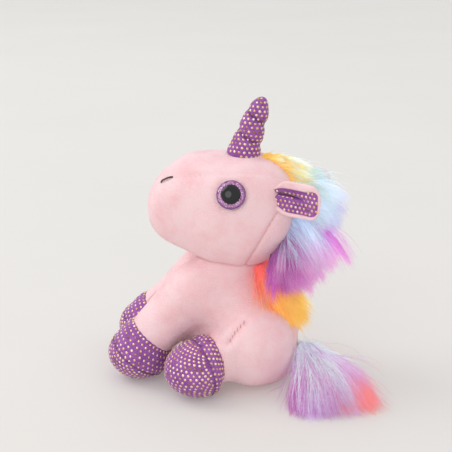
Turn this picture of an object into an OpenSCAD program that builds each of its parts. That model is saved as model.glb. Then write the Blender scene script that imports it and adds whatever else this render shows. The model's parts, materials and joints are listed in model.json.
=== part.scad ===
// Plush unicorn sitting on its seat, with its legs forward.
// Millimetres, +Z up. The unicorn faces -Y and its own left side is +X.
// The origin is in the median plane on the table, half way from the right forehoof to the tail's end.

/* [Fabric] */
// Thickness of the pink pile fabric
skin = 1.2; // [0.8:0.1:1.6]
// Gap left between two panels along a seam
seam_gap = 0.2; // [0.1:0.05:0.4]
// Free room between two bodies that move against each other
joint_gap = 0.5; // [0.4:0.1:0.8]

/* [Head] */
// Height of the head's widest level above the table
head_level = 112; // [110:0.5:114]
// Radius of the neck ball that the head sits on
neck_r = 26; // [25:0.5:27]
// Half width of the centre gusset over the crown
gusset_half = 20; // [17:1:22]
// Width of the mane's sewn strip
mane_strip_w = 18; // [12:1:22]

/* [Eyes] */
// Diameter of the eye over its glitter ring
eye_d = 18.4; // [16:0.2:20]
// Diameter of the black pupil dome
pupil_d = 12.6; // [10:0.2:13]
// Diameter of the eye's stem
stem_d = 5; // [4:0.5:6]
// Length of the eye's stem behind the flange
stem_len = 11; // [9:0.5:13]

/* [Horn and ears] */
// Diameter of the horn at its base
horn_base_d = 20; // [17:0.5:22]
// Length of the horn along its axis
horn_len = 38; // [32:1:42]
// Lean of the horn towards the back, in degrees
horn_lean = 16; // [10:1:20]
// Bend of the horn to the front or the back, in degrees
horn_bend = 8; // [4:1:8]
// Turns of the horn's twist
horn_turns = 1.6; // [1:0.1:2.5]
// Length of an ear from its seam to its rounded end
ear_len = 31; // [26:1:33]
// Width of an ear across its widest part
ear_w = 23; // [20:1:25]
// How far the ears stand out from the head's side, in degrees
ear_out = 24; // [22:1:38]

/* [Legs] */
// Radius of a leg at its ankle
ankle_r = 15.5; // [14.5:0.25:16]
// Radius of a foreleg at the shoulder
shoulder_r = 18; // [17:0.25:18.5]
// Radius of a hoof
hoof_r = 20.5; // [19.5:0.25:20.5]
// Thickness of the foil-dot fabric
hoof_skin = 1.0; // [0.7:0.1:1.3]
// Highest lift of a foreleg, in degrees
foreleg_lift = 25; // [5:1:25]
// Turn of a hind leg to either side, in degrees
hindleg_turn = 12; // [4:1:12]

// How much further forward the right forehoof rests than the left one
right_reach = 6; // [0:0.5:7]

/* [Tail] */
// Direction of the tail's rest pose from straight back, towards the left, in degrees
tail_yaw = 48; // [30:1:50]
// Length of the tail from its seam
tail_len = 62.5; // [50:0.5:66]

/* [Hidden] */

PINK = [0.97, 0.76, 0.80];
PURPLE = [0.56, 0.30, 0.66];
WHITE = [0.95, 0.95, 0.93];
BLACK = [0.03, 0.03, 0.03];
LILAC = [0.80, 0.52, 0.78];
BROWN = [0.22, 0.12, 0.12];
BLUE = [0.72, 0.82, 0.92];

fore_sole = 3.2;                // from the hoof's middle to its sole's seam
hind_sole = -1;
lining_skin = 0.9;              // fabric of the ears' lining
fill_gap = 0.1;                 // stuffing to fabric
thigh_r = 27.5;                 // radius of a haunch
hip_r = 18;                     // radius of a hind leg at the hip
room_gap = joint_gap + 0.25;    // free room around a leg, before its facets cut into it
pile_gap = 0.3;                 // fur to the fabric it lies on
backing_t = 1.5;                // knitted backing of the fur strips
far = 200;                      // half size of a box that cuts half of space

neck_at = [0, -8, 92];
head_centre = [0, -14, head_level];
shoulder_at = [21, -31, 61];
fore_hoof_at = [24, -66, hoof_r];
far_hoof_at = fore_hoof_at + [0, -right_reach, 0];
hip_at = [28, 4, 25];
hind_hoof_at = [48, -24, hoof_r];
thigh_at = [24, 10, thigh_r];
base_half = [30, 23];           // half sizes of the oval base panel
tail_at = [0, 39.5, 17];
horn_at = [0, -1, head_level + 38];
bag_at = [0, 15, 10];

// ---- lofts ----
// A ring is [station, centre, half width, half size up, half size down].

function spow(c, n) = sign(c) * pow(abs(c), 2 / n);
function between(a, b, c, d, t) =
    0.5 * (2 * b + (c - a) * t + (2 * a - 5 * b + 4 * c - d) * t * t + (3 * b - a - 3 * c + d) * t * t * t);
function smooth_rings(r, k) = [
    for (i = [0:len(r) - 2]) for (j = [0:k - 1])
        between(r[max(i - 1, 0)], r[i], r[i + 1], r[min(i + 2, len(r) - 1)], j / k),
    r[len(r) - 1]
];
function ring_points(r, sides, n) = [
    for (i = [0:sides - 1]) let(
        a = 360 * i / sides,
        c = spow(cos(a), n),
        s = spow(sin(a), n)
    ) [r[2] * c, r[1] + (s > 0 ? r[3] : r[4]) * s, r[0]]
];

// A closed solid through rings stacked along Z, with each ring in X and Y.
module loft(rings, sides, n) {
    count = len(rings);
    points = [for (r = rings) each ring_points(r, sides, n)];
    walls = [
        for (i = [0:count - 2]) for (j = [0:sides - 1]) let(
            k = (j + 1) % sides,
            a = i * sides + j,
            b = i * sides + k
        ) each [[a, a + sides, b], [b, a + sides, b + sides]]
    ];
    floor_face = [for (j = [0:sides - 1]) j];
    roof_face = [for (j = [sides - 1:-1:0]) (count - 1) * sides + j];
    polyhedron(points, concat(walls, [floor_face, roof_face]), convexity = 6);
}

// Soft pieces are meshed as one body, because they are smooth and nothing round fits into them.
module soft() {
    resize([0, 0, 0]) children();
}

module half_space(side, gap = 0) {
    translate([side > 0 ? gap : -far - gap, -far, -far]) cube([far, 2 * far, 2 * far]);
}

module mirrored(side) {
    if (side > 0) children(); else mirror([1, 0, 0]) children();
}

// ---- head ----

// Rings from the back of the head to the muzzle: distance back, level, half width, up, down.
head_rings = [
    [35.5, -4, 0.5, 0.5, 0.5],
    [34.5, -4, 11, 14, 10],
    [30, -4, 22, 28, 19],
    [21, -3, 30, 36, 26],
    [8, -2, 35.5, 39, 33],
    [-6, 0, 37, 37.5, 37],
    [-20, 0, 36, 37.5, 35],
    [-33, 1, 32.5, 36, 30],
    [-44, 2, 29.5, 30, 27],
    [-54, 3, 25.5, 22, 23],
    [-61, 2, 18.5, 14.5, 16],
    [-64.5, 1, 9, 7, 8],
    [-65.5, 1, 0.5, 0.5, 0.5]
];

module head_form(inset = 0, steps = 2, sides = 32) {
    translate(head_centre) scale(1 - inset / 37) translate(-head_centre)
        translate([0, 0, head_level]) rotate([90, 0, 0])
            loft([for (r = smooth_rings(head_rings, steps)) [-r[0], r[1], r[2], r[3], r[4]]], sides, 2.35);
}

module neck_ball(extra, sides = 36) {
    translate(neck_at) sphere(neck_r + extra, $fn = sides);
}

// The strip over the crown and down the muzzle. It narrows towards the nose.
module gusset_zone(extra) {
    w = gusset_half + extra;
    translate([0, 0, -far]) linear_extrude(2 * far)
        polygon([[-w, 60], [w, 60], [w, 10], [w - 7, -80], [7 - w, -80], [-w, 10]]);
}

// Everything behind the seam that runs from an ear down to the neck.
module nape_zone(extra) {
    translate([0, 24 - extra, 118]) rotate([-28.6, 0, 0])
        translate([-far, 0, -far]) cube([2 * far, far, 2 * far]);
}

module head_shell() {
    difference() {
        head_form();
        head_form(skin);
        neck_ball(joint_gap);
        for (side = [1, -1]) eye_frame(side) {
            cylinder(d = stem_d + 0.4, h = 30, center = true, $fn = 20);
            translate([0, 0, -0.1]) cylinder(d = eye_d + 0.4, h = 4, $fn = 32);
        }
    }
}

module head_side(side) {
    color(PINK) soft() difference() {
        intersection() {
            head_shell();
            half_space(side);
        }
        gusset_zone(seam_gap / 2);
        nape_zone(seam_gap / 2);
    }
}

module head_gusset() {
    color(PINK) soft() difference() {
        intersection() {
            head_shell();
            gusset_zone(-seam_gap / 2);
        }
        nape_zone(seam_gap / 2);
    }
}

module head_back(side) {
    color(PINK) soft() intersection() {
        head_shell();
        half_space(side, seam_gap / 2);
        nape_zone(-seam_gap / 2);
    }
}

module head_fill() {
    color(WHITE) soft() difference() {
        head_form(skin + 0.6, 1, 24);
        neck_ball(joint_gap + 0.1, 28);
        for (side = [1, -1]) eye_frame(side)
            translate([0, 0, -stem_len - 1]) cylinder(d = washer_d + 0.4, h = stem_len + 12, $fn = 24);
    }
}

// ---- eyes ----

washer_d = 13;
eye_at = [33.5, -3.5, head_level + 18];
eye_tilt = 64;                  // from straight up to the eye's own axis
eye_turn = 3;                   // from straight sideways towards the back

// Frame with its origin on the head's surface and +Z out of the eye.
module eye_frame(side) {
    mirrored(side) translate(eye_at) rotate([0, 0, eye_turn]) rotate([0, eye_tilt, 0]) children();
}

module eye_post(side) {
    color(PURPLE) eye_frame(side) {
        cylinder(d = eye_d, h = 1.4, $fn = 64);
        translate([0, 0, -stem_len]) cylinder(d = stem_d, h = stem_len, $fn = 32);
    }
}

module eye_glitter(side) {
    color(LILAC) eye_frame(side) translate([0, 0, 1.4]) rotate_extrude($fn = 64)
        polygon([[pupil_d / 2 - 0.6, 0], [eye_d / 2 - 0.5, 0], [eye_d / 2 - 0.9, 0.5],
                 [pupil_d / 2 + 0.3, 1.3], [pupil_d / 2 - 0.6, 1.3]]);
}

module eye_dome(side) {
    r = pupil_d / 2 - 0.65;
    rise = 3.2;
    color(BLACK) eye_frame(side) translate([0, 0, 1.4]) rotate_extrude($fn = 64)
        polygon(concat([[0, 0], [r, 0]],
                       [for (a = [0:10:90]) [a == 90 ? 0 : r * cos(a), 1.2 + rise * sin(a)]]));
}

module eye_washer(side) {
    color(WHITE) eye_frame(side) translate([0, 0, -5.5]) difference() {
        cylinder(d = washer_d, h = 1.4, $fn = 48);
        translate([0, 0, -1]) cylinder(d = stem_d + 0.1, h = 4, $fn = 32);
    }
}

// ---- nostrils ----

module nostril(side) {
    color(BROWN) soft() difference() {
        mirrored(side) hull() {
            translate([19.6, -51.7, head_level + 21.1]) sphere(0.7, $fn = 12);
            translate([21.1, -43.9, head_level + 25.3]) sphere(0.7, $fn = 12);
        }
        head_form(-0.05);
    }
}

// ---- mane ----

module mane_head_backing() {
    color(BLUE) soft() intersection() {
        difference() {
            head_form(-pile_gap - backing_t);
            head_form(-pile_gap);
        }
        translate([-mane_strip_w / 2, 13, 90]) cube([mane_strip_w, 60, 70]);
    }
}

module mane_blob(points) {
    for (i = [0:len(points) - 2]) hull() for (p = [points[i], points[i + 1]])
        for (side = [1, -1]) translate([side * p[3], p[0], p[1]]) sphere(p[2], $fn = 14);
}

module mane_head_pile() {
    color(BLUE) soft() difference() {
        mane_blob([[19, 147, 4, 2], [33, 138, 9, 5], [42, 122, 13, 9], [46, 106, 13, 10], [42, 94, 10, 10]]);
        head_form(-pile_gap - backing_t - 0.2);
        // The lower edge follows a cone about the neck, so that the head can turn.
        translate([neck_at[0], neck_at[1], neck_at[2] - 60])
            cylinder(h = 60, r1 = 240, r2 = 0, $fn = 32);
    }
}

module mane_neck_backing() {
    color(BLUE) soft() intersection() {
        difference() {
            torso_form(-pile_gap - backing_t);
            torso_form(-pile_gap);
        }
        translate([-mane_strip_w / 2, 0, 42]) cube([mane_strip_w, 60, 31]);
    }
}

module mane_neck_pile() {
    color([0.98, 0.62, 0.45]) soft() difference() {
        mane_blob([[19, 66, 5, 8], [27, 57, 8, 9], [33, 48, 8, 8], [33, 43, 5, 6]]);
        torso_form(-pile_gap - backing_t - 0.25);
        neck_ball(8.03, 24);
    }
}

// ---- horn ----

module horn_frame() {
    translate(horn_at) rotate([-horn_lean, 0, 0]) children();
}

// A blunt cone with one twisted groove, so that it bulges between the turns.
module horn_form(inset, low, high) {
    steps = 16;
    sides = 18;
    rings = [for (i = [0:steps]) let(t = i / steps) [low + (high - low) * t, t]];
    points = [for (r = rings) let(
        u = max(0, r[0]) / horn_len,
        round_tip = sqrt(max(0.02, 1 - pow(max(0, (u - 0.86) / 0.14), 2))),
        base = (horn_base_d / 2 * (1 - 0.56 * u)) * round_tip
    ) for (j = [0:sides - 1]) let(
        a = 360 * j / sides,
        phase = a - 360 * horn_turns * u,
        groove = 1 - 0.13 * pow(0.5 + 0.5 * cos(phase), 3),
        q = max(0.4, base * groove - inset)
    ) [q * cos(a), q * sin(a), r[0]]];
    walls = [for (i = [0:steps - 1]) for (j = [0:sides - 1]) let(
        k = (j + 1) % sides, a = i * sides + j, b = i * sides + k
    ) each [[a, a + sides, b], [b, a + sides, b + sides]]];
    polyhedron(points, concat(walls, [[for (j = [0:sides - 1]) j],
                                      [for (j = [sides - 1:-1:0]) steps * sides + j]]), convexity = 6);
}

module horn_shell() {
    color(PURPLE) soft() difference() {
        horn_frame() horn_form(0, -2, horn_len);
        horn_frame() horn_form(hoof_skin, -4, horn_len - 1.2);
        horn_room();
    }
}

module horn_fill() {
    color(WHITE) soft() difference() {
        horn_frame() horn_form(hoof_skin + fill_gap, -2, horn_len - 1.6);
        horn_room();
    }
}

// The head's crown, kept clear of the horn's base while the horn bends to either side.
module horn_room() {
    for (bend = [-horn_bend, horn_bend]) translate(horn_at) rotate([bend, 0, 0]) translate(-horn_at)
        intersection() {
            head_form(-0.4, 1);
            translate([-15, -20, head_level + 20]) cube([30, 40, 30]);
        }
}

// ---- ears ----

ear_at = [24.8, 23.2, head_level + 17];
ear_cup_r = 22;                 // radius that the ear's two layers are cupped to

// Frame with +Y along the ear and +X out of its lining.
module ear_frame(side) {
    mirrored(side) translate(ear_at) rotate([0, 0, -ear_out]) rotate([2, 0, 0]) children();
}

// An ear's outline in Y and Z: narrow at its seam, widest past the middle, with a blunt rounded end.
module ear_outline(inset) {
    offset(delta = -inset) hull() {
        translate([1, -5.5]) square([1, 12]);
        translate([ear_len * 0.58, 0]) circle(d = ear_w, $fn = 40);
        translate([ear_len - 7, -3.5]) circle(r = 6.5, $fn = 32);
        translate([ear_len - 6, 4.5]) circle(r = 5.5, $fn = 32);
    }
}

module clear_of_head() {
    difference() {
        children();
        head_form(-1, 1);
    }
}

// One layer of the ear, cupped about an axis along it, between two depths below its outside.
module ear_layer(near, deep, inset) {
    intersection() {
        rotate([90, 0, 90]) translate([0, 0, -2]) linear_extrude(ear_cup_r) ear_outline(inset);
        translate([ear_cup_r, -5, 0]) rotate([-90, 0, 0]) difference() {
            cylinder(r = ear_cup_r - near, h = ear_len + 20, $fn = 96);
            translate([0, 0, -1]) cylinder(r = ear_cup_r - deep, h = ear_len + 22, $fn = 96);
        }
    }
}

module ear_outer(side) {
    color(PINK) soft() clear_of_head() ear_frame(side) ear_layer(0, skin, 0);
}

module ear_lining(side) {
    color(PURPLE) soft() clear_of_head()
        ear_frame(side) ear_layer(skin + 0.05, skin + 0.05 + lining_skin, 2.2);
}

// ---- torso ----

// Rings from the seat up to the neck: level, middle in Y, half width, half size back, half size front.
torso_rings = [
    [0, 9, 30, 22, 24],
    [3.5, 8, 35, 27, 29],
    [13, 7, 37.5, 31, 31],
    [26, 5, 37, 33.5, 32],
    [39, 0, 33.5, 33.5, 32],
    [51, -8, 31, 31.5, 31],
    [62, -14, 29, 31, 28.5],
    [71, -15, 26.5, 28, 24],
    [77, -11.5, 24, 24, 21],
    [80.5, -9, 22.5, 22.5, 20]
];

module torso_form(inset = 0, steps = 2, sides = 28) {
    loft([for (r = smooth_rings(torso_rings, steps))
              [r[0], r[1], r[2] - inset, r[3] - inset, r[4] - inset]], sides, 2.15);
    for (side = [1, -1]) mirrored(side) translate(thigh_at) sphere(thigh_r - inset, $fn = sides);
    intersection() {
        neck_ball(-inset, sides);
        translate([-far, -far, 70]) cube([2 * far, 2 * far, 60]);
    }
}

// Room that the legs need in the torso, over their whole travel.
module leg_rooms(extra) {
    for (side = [1, -1]) mirrored(side) {
        limb_room(shoulder_at, side > 0 ? fore_hoof_at : far_hoof_at, shoulder_r, 34,
                  [for (k = [0, 0.5, 1]) [-k * foreleg_lift, 0, 0]], extra);
        limb_room(hip_at, hind_hoof_at, hip_r, 30,
                  [for (k = [-1, 0, 1]) [0, 0, k * hindleg_turn]], extra);
    }
}

// What a limb sweeps as it turns about its joint through the given poses.
module limb_room(from, to, root_r, reach, poses, extra) {
    r = (ankle_r + root_r) / 2;
    hull() {
        translate(from) sphere(root_r + extra, $fn = 24);
        for (turn = poses) translate(from) rotate(turn)
            translate((to - from) / norm(to - from) * reach) sphere(r + extra, $fn = 18);
    }
}

module torso_shell() {
    difference() {
        torso_form();
        torso_form(skin);
        leg_rooms(room_gap);
        translate([-far, -far, neck_at[2] - 5]) cube([2 * far, 2 * far, far]);
        translate([-far, -far, -far]) cube([2 * far, 2 * far, far + skin + 0.1]);
        translate(tail_at) sphere(5.5, $fn = 32);
    }
}

module belly_zone(extra) {
    w = 13 + extra;
    translate([-w, -far, -1]) cube([2 * w, far, 47 + extra]);
}

module torso_side(side) {
    color(PINK) soft() difference() {
        intersection() {
            torso_shell();
            half_space(side, seam_gap / 2);
        }
        belly_zone(seam_gap / 2);
    }
}

module torso_belly() {
    color(PINK) soft() intersection() {
        torso_shell();
        belly_zone(-seam_gap / 2);
    }
}

// The flat oval panel that the toy sits on.
module torso_base() {
    color(PINK) linear_extrude(skin)
        polygon([for (a = [0:5:355]) [base_half[0] * cos(a), 9 + base_half[1] * sin(a)]]);
}

module torso_fill() {
    color(WHITE) soft() difference() {
        torso_form(skin + 0.6, 1, 20);
        leg_rooms(room_gap + 0.5);
        translate([-far, -far, -far]) cube([2 * far, 2 * far, far + skin + 0.2]);
        neck_plug(joint_gap, 30);
        bag_body(0.2);
        translate([bag_at[0], bag_at[1], 0]) cylinder(r = 10, h = bag_at[2], $fn = 24);
        translate(tail_at) sphere(5.5, $fn = 32);
    }
}

neck_core_r = 17;
neck_pass_r = 11;               // radius where the stuffing passes up into the head

// A ball of stuffing with a stem on top, up to the given level over the neck's centre.
module neck_plug(extra, top) {
    r = neck_core_r + extra;
    start = asin((neck_pass_r + extra) / r);
    translate(neck_at) rotate_extrude($fn = 40)
        polygon(concat(
            [for (k = [0:10]) let(a = 180 - (180 - start) * k / 10)
                [k == 0 ? 0 : r * sin(a), r * cos(a)]],
            [[neck_pass_r + extra, top], [0, top]]
        ));
}

module neck_fill() {
    color(WHITE) neck_plug(0, 22.5);
}

// A flattened pouch: an ellipse turned about Z.
module bag_body(extra) {
    translate(bag_at) rotate_extrude($fn = 32)
        polygon([for (a = [-90:15:90]) [max(0, (13 + extra) * cos(a)), (7.5 + extra) * sin(a)]]);
}

module pellet_bag() {
    color(WHITE) difference() {
        bag_body(0);
        bag_body(-0.6);
    }
}

module pellet_charge() {
    color(LILAC) bag_body(-0.7);
}

// The short hand-sewn tacks that pull in the top of each haunch.
module hip_stitches() {
    color(LILAC) for (side = [1, -1], i = [0:4]) mirrored(side) {
        p = tack_end(i / 4, -0.036);
        d = tack_end(i / 4, 0.036) - p;
        translate(p) rotate([0, acos(d[2] / norm(d)), atan2(d[1], d[0])])
            cylinder(r = 0.3, h = norm(d), $fn = 16);
    }
}

// One end of a tack: the tacks follow a line over the haunch, and each lies across it.
function tack_end(t, offset) = let(
    along = [-0.24, 0.32, 0.37],
    middle = [0.80, -0.45, 0.38] + t * along,
    out = middle / norm(middle),
    across = cross(out, along) / norm(cross(out, along)),
    dir = out + offset * across
) thigh_at + dir / norm(dir) * (thigh_r + 0.4);

// ---- legs ----

// Frame with +Z along a leg, from its joint towards its hoof.
module limb_frame(from, to, side) {
    d = to - from;
    mirrored(side) translate(from) rotate([0, acos(d[2] / norm(d)), atan2(d[1], d[0])]) children();
}

// Half profile of the hoof's ball of radius r, from s1 to s2 along the leg, as [radius, distance].
function ball_arc(r, middle, s1, s2, count) = [
    for (i = [0:count]) let(s = s1 + (s2 - s1) * i / count, q = r * r - pow(s - middle, 2))
        [q < 0.01 ? 0 : sqrt(q), s]
];

// Distance along a leg to its hoof's upper seam.
function ankle_on(from, to) = norm(to - from) - sqrt(hoof_r * hoof_r - ankle_r * ankle_r);

// A sleeve of pile fabric that starts on the ball of its joint, at the given angle.
module leg_sleeve(from, to, side, root_r, start) {
    ankle = ankle_on(from, to);
    r = root_r - skin;
    color(PINK) limb_frame(from, to, side) rotate_extrude($fn = 64)
        polygon(concat(
            [for (a = [start:10:0]) root_r * [cos(a), sin(a)]],
            [[ankle_r, ankle], [ankle_r - skin, ankle]],
            [for (a = [0:-10:start]) r * [cos(a), sin(a)]]
        ));
}

module leg_fill(from, to, side, root_r) {
    middle = norm(to - from);
    ankle = ankle_on(from, to);
    i = skin + fill_gap;
    r = root_r - i;
    color(WHITE) limb_frame(from, to, side) rotate_extrude($fn = 64)
        polygon(concat(
            [for (a = [-90:15:0]) [a > -90 ? r * cos(a) : 0, r * sin(a)]],
            [[ankle_r - i - 0.4, ankle]],
            ball_arc(hoof_r - hoof_skin - 0.15, middle, ankle + 0.8, middle + hoof_r - hoof_skin - 0.15, 12)
        ));
}

module hoof_band(from, to, side, seam) {
    middle = norm(to - from);
    ankle = ankle_on(from, to);
    color(PURPLE) limb_frame(from, to, side) rotate_extrude($fn = 64)
        polygon(concat(
            ball_arc(hoof_r, middle, ankle + seam_gap, middle + seam, 10),
            ball_arc(hoof_r - hoof_skin, middle, middle + seam, ankle + seam_gap, 10)
        ));
}

module hoof_sole(from, to, side, seam) {
    middle = norm(to - from);
    low = middle + seam + seam_gap;
    inner = hoof_r - hoof_skin;
    color(PURPLE) limb_frame(from, to, side) rotate_extrude($fn = 64)
        polygon(concat(
            ball_arc(hoof_r, middle, low, middle + hoof_r, 12),
            ball_arc(inner, middle, middle + inner, low, 12)
        ));
}

// ---- tail ----

// Frame at the tail's root with +Y along the tail.
module tail_frame() {
    translate(tail_at) rotate([0, 0, -tail_yaw]) children();
}

module tail_dock() {
    color(BLUE) translate(tail_at) sphere(4.8, $fn = 40);
}

module tail_backing() {
    color(BLUE) tail_frame() rotate([-14, 0, 0]) translate([0, 5.6, 0]) rotate([-90, 0, 0])
        cylinder(r1 = 2.3, r2 = 3.4, h = 22, $fn = 32);
}

// The tail's fur as one soft body: a narrow root that fans out flat on the table.
module tail_pile() {
    color([0.80, 0.55, 0.82]) soft() difference() {
        tail_frame() {
            hull() {
                translate([0, 8, -1]) sphere(5, $fn = 20);
                translate([0, 24, -6]) scale([1.5, 1, 0.95]) sphere(11, $fn = 24);
            }
            hull() {
                translate([0, 24, -6]) scale([1.5, 1, 0.95]) sphere(11, $fn = 24);
                translate([0, tail_len - 14, -10.6]) scale([1.75, 1, 0.45]) sphere(14, $fn = 28);
            }
        }
        translate(tail_at) sphere(5.4, $fn = 32);
        tail_frame() rotate([-14, 0, 0]) translate([0, 0, 0]) rotate([-90, 0, 0])
            cylinder(r1 = 2.3, r2 = 3.8, h = 28, $fn = 24);
    }
}

head_side(1);  // head_side_left
head_side(-1);  // head_side_right
head_gusset();
head_back(1);  // head_back_left
head_back(-1);  // head_back_right
head_fill();
eye_post(1);  // eye_left_post
eye_glitter(1);  // eye_left_glitter
eye_dome(1);  // eye_left_dome
eye_washer(1);  // eye_left_washer
eye_post(-1);  // eye_right_post
eye_glitter(-1);  // eye_right_glitter
eye_dome(-1);  // eye_right_dome
eye_washer(-1);  // eye_right_washer
nostril(1);  // nostril_left
nostril(-1);  // nostril_right
mane_head_backing();
mane_head_pile();
horn_shell();
horn_fill();
ear_outer(1);  // ear_left_outer
ear_lining(1);  // ear_left_lining
ear_outer(-1);  // ear_right_outer
ear_lining(-1);  // ear_right_lining
neck_fill();
torso_side(1);  // torso_side_left
torso_side(-1);  // torso_side_right
torso_belly();
torso_base();
torso_fill();
pellet_bag();
pellet_charge();
mane_neck_backing();
mane_neck_pile();
hip_stitches();
leg_sleeve(shoulder_at, fore_hoof_at, 1, shoulder_r, -40);  // foreleg_left_sleeve
leg_fill(shoulder_at, fore_hoof_at, 1, shoulder_r);  // foreleg_left_fill
hoof_band(shoulder_at, fore_hoof_at, 1, fore_sole);  // hoof_fore_left_band
hoof_sole(shoulder_at, fore_hoof_at, 1, fore_sole);  // hoof_fore_left_sole
leg_sleeve(shoulder_at, far_hoof_at, -1, shoulder_r, -40);  // foreleg_right_sleeve
leg_fill(shoulder_at, far_hoof_at, -1, shoulder_r);  // foreleg_right_fill
hoof_band(shoulder_at, far_hoof_at, -1, fore_sole);  // hoof_fore_right_band
hoof_sole(shoulder_at, far_hoof_at, -1, fore_sole);  // hoof_fore_right_sole
leg_sleeve(hip_at, hind_hoof_at, 1, hip_r, -40);  // hindleg_left_sleeve
leg_fill(hip_at, hind_hoof_at, 1, hip_r);  // hindleg_left_fill
hoof_band(hip_at, hind_hoof_at, 1, hind_sole);  // hoof_hind_left_band
hoof_sole(hip_at, hind_hoof_at, 1, hind_sole);  // hoof_hind_left_sole
leg_sleeve(hip_at, hind_hoof_at, -1, hip_r, -40);  // hindleg_right_sleeve
leg_fill(hip_at, hind_hoof_at, -1, hip_r);  // hindleg_right_fill
hoof_band(hip_at, hind_hoof_at, -1, hind_sole);  // hoof_hind_right_band
hoof_sole(hip_at, hind_hoof_at, -1, hind_sole);  // hoof_hind_right_sole
tail_dock();
tail_backing();
tail_pile();
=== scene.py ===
"""Looks of a sitting plush unicorn: pile skin, foil-dot hooves, horn and ears, glitter eyes and long fur."""
import json
import math

import bpy
import numpy as np
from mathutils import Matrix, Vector
from mathutils.bvhtree import BVHTree


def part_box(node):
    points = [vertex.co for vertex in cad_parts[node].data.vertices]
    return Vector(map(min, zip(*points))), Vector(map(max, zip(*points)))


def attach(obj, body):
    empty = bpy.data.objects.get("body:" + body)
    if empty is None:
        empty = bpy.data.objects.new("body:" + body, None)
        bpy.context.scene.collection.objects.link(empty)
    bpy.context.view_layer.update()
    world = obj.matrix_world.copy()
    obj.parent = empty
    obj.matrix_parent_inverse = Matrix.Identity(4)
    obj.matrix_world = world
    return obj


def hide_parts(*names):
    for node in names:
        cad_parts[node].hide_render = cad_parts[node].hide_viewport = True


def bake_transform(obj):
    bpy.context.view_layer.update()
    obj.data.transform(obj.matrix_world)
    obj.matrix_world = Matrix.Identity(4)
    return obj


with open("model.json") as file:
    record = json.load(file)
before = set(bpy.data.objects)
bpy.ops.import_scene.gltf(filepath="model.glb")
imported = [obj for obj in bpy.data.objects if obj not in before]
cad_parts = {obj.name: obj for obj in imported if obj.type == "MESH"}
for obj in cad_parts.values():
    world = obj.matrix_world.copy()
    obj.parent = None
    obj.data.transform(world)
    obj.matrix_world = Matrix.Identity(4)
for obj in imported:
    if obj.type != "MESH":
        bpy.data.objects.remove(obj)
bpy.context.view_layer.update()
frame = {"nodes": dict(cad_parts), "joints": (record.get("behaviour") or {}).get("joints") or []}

MM = 0.001                      # shapes below are worked out in millimetres
SIDES = {"left": 1, "right": -1}
HOOF_R = 20.5
ANKLE_R = 15.5
SHOULDER_R = 18.0
HIP_R = 18.0
THIGH_AT = np.array([24.0, 10.0, 27.5])
THIGH_R = 27.5
EYE_AT = np.array([33.5, -3.5, 130.0])
EYE_TILT = 64.0                 # from straight up to the eye's axis, in degrees
EYE_TURN = 3.0                  # from straight sideways towards the back
EYE_R = 9.2
HORN_LEAN = 16.0
HORN_LEN = 38.0
HORN_BASE_R = 10.0
EAR_OUT = 24.0
EAR_LEN = 37.0
EAR_HALF = 11.2
TAIL_YAW = 48.0
DOT_PITCH = 3.45
FINE_PITCH = 3.1   # on the horn and the ears
HEX_ROW = 0.866    # distance between the rows of a hexagonal pattern, in pitches
DOT_R = 0.82
HEAD_C = np.array([0.0, -14.0, 120.0])


# ---- vectors, meshes and fields ----

def unit(v):
    v = np.asarray(v, float)
    return v / np.maximum(np.linalg.norm(v, axis=-1, keepdims=True), 1e-9)


def smooth(a, b, x):
    t = np.clip((x - a) / (b - a), 0, 1)
    return t * t * (3 - 2 * t)


def soft_min(a, b, k):
    h = np.maximum(k - np.abs(a - b), 0) / k
    return np.minimum(a, b) - h * h * k / 4


def soft_max(a, b, k):
    return -soft_min(-a, -b, k)


def side_frame(axis):
    """Two unit vectors square to the axis."""
    axis = unit(axis)
    other = np.array([0.0, 0.0, 1.0]) if abs(axis[2]) < 0.9 else np.array([1.0, 0.0, 0.0])
    first = unit(np.cross(other, axis))
    return first, np.cross(axis, first)


def wave_noise(p, scale, seed=0):
    """Cheap smooth noise of about -1 to 1 at points p, from a few turned waves of the given size in mm."""
    rng = np.random.default_rng(seed)
    total = np.zeros(len(p))
    for _ in range(7):
        direction = unit(rng.normal(size=3)) * rng.uniform(0.7, 1.5)
        total += np.sin(p @ direction * (2 * math.pi / scale) + rng.uniform(0, 6.28))
    return total / 3.2


def mesh_object(name, points, faces, material, values=None, colours=None):
    """A smooth mesh object from points in mm and one array of equal faces, with named values per point."""
    data = bpy.data.meshes.new(name)
    faces = np.asarray(faces, np.int32)
    data.vertices.add(len(points))
    data.vertices.foreach_set("co", (np.asarray(points) * MM).astype(np.float32).ravel())
    data.loops.add(faces.size)
    data.loops.foreach_set("vertex_index", faces.ravel())
    data.polygons.add(len(faces))
    data.polygons.foreach_set("loop_start", np.arange(len(faces), dtype=np.int32) * faces.shape[1])
    data.update(calc_edges=True)
    data.validate()
    data.shade_smooth()
    for key, value in (values or {}).items():
        layer = data.attributes.new(key, "FLOAT", "POINT")
        layer.data.foreach_set("value", np.asarray(value, np.float32))
    if colours is not None:
        layer = data.attributes.new("tint", "FLOAT_COLOR", "POINT")
        rgba = np.concatenate([colours, np.ones((len(colours), 1))], 1)
        layer.data.foreach_set("color", rgba.astype(np.float32).ravel())
    data.materials.append(material)
    obj = bpy.data.objects.new(name, data)
    bpy.context.scene.collection.objects.link(obj)
    return obj


def grid_faces(rows, columns, closed=True):
    """Quads of a grid of points, row after row, closed round its columns if asked."""
    last = columns if closed else columns - 1
    i, j = np.meshgrid(np.arange(rows - 1), np.arange(last), indexing="ij")
    k = (j + 1) % columns
    return np.stack([i * columns + j, i * columns + k, (i + 1) * columns + k, (i + 1) * columns + j],
                    -1).reshape(-1, 4)


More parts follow.
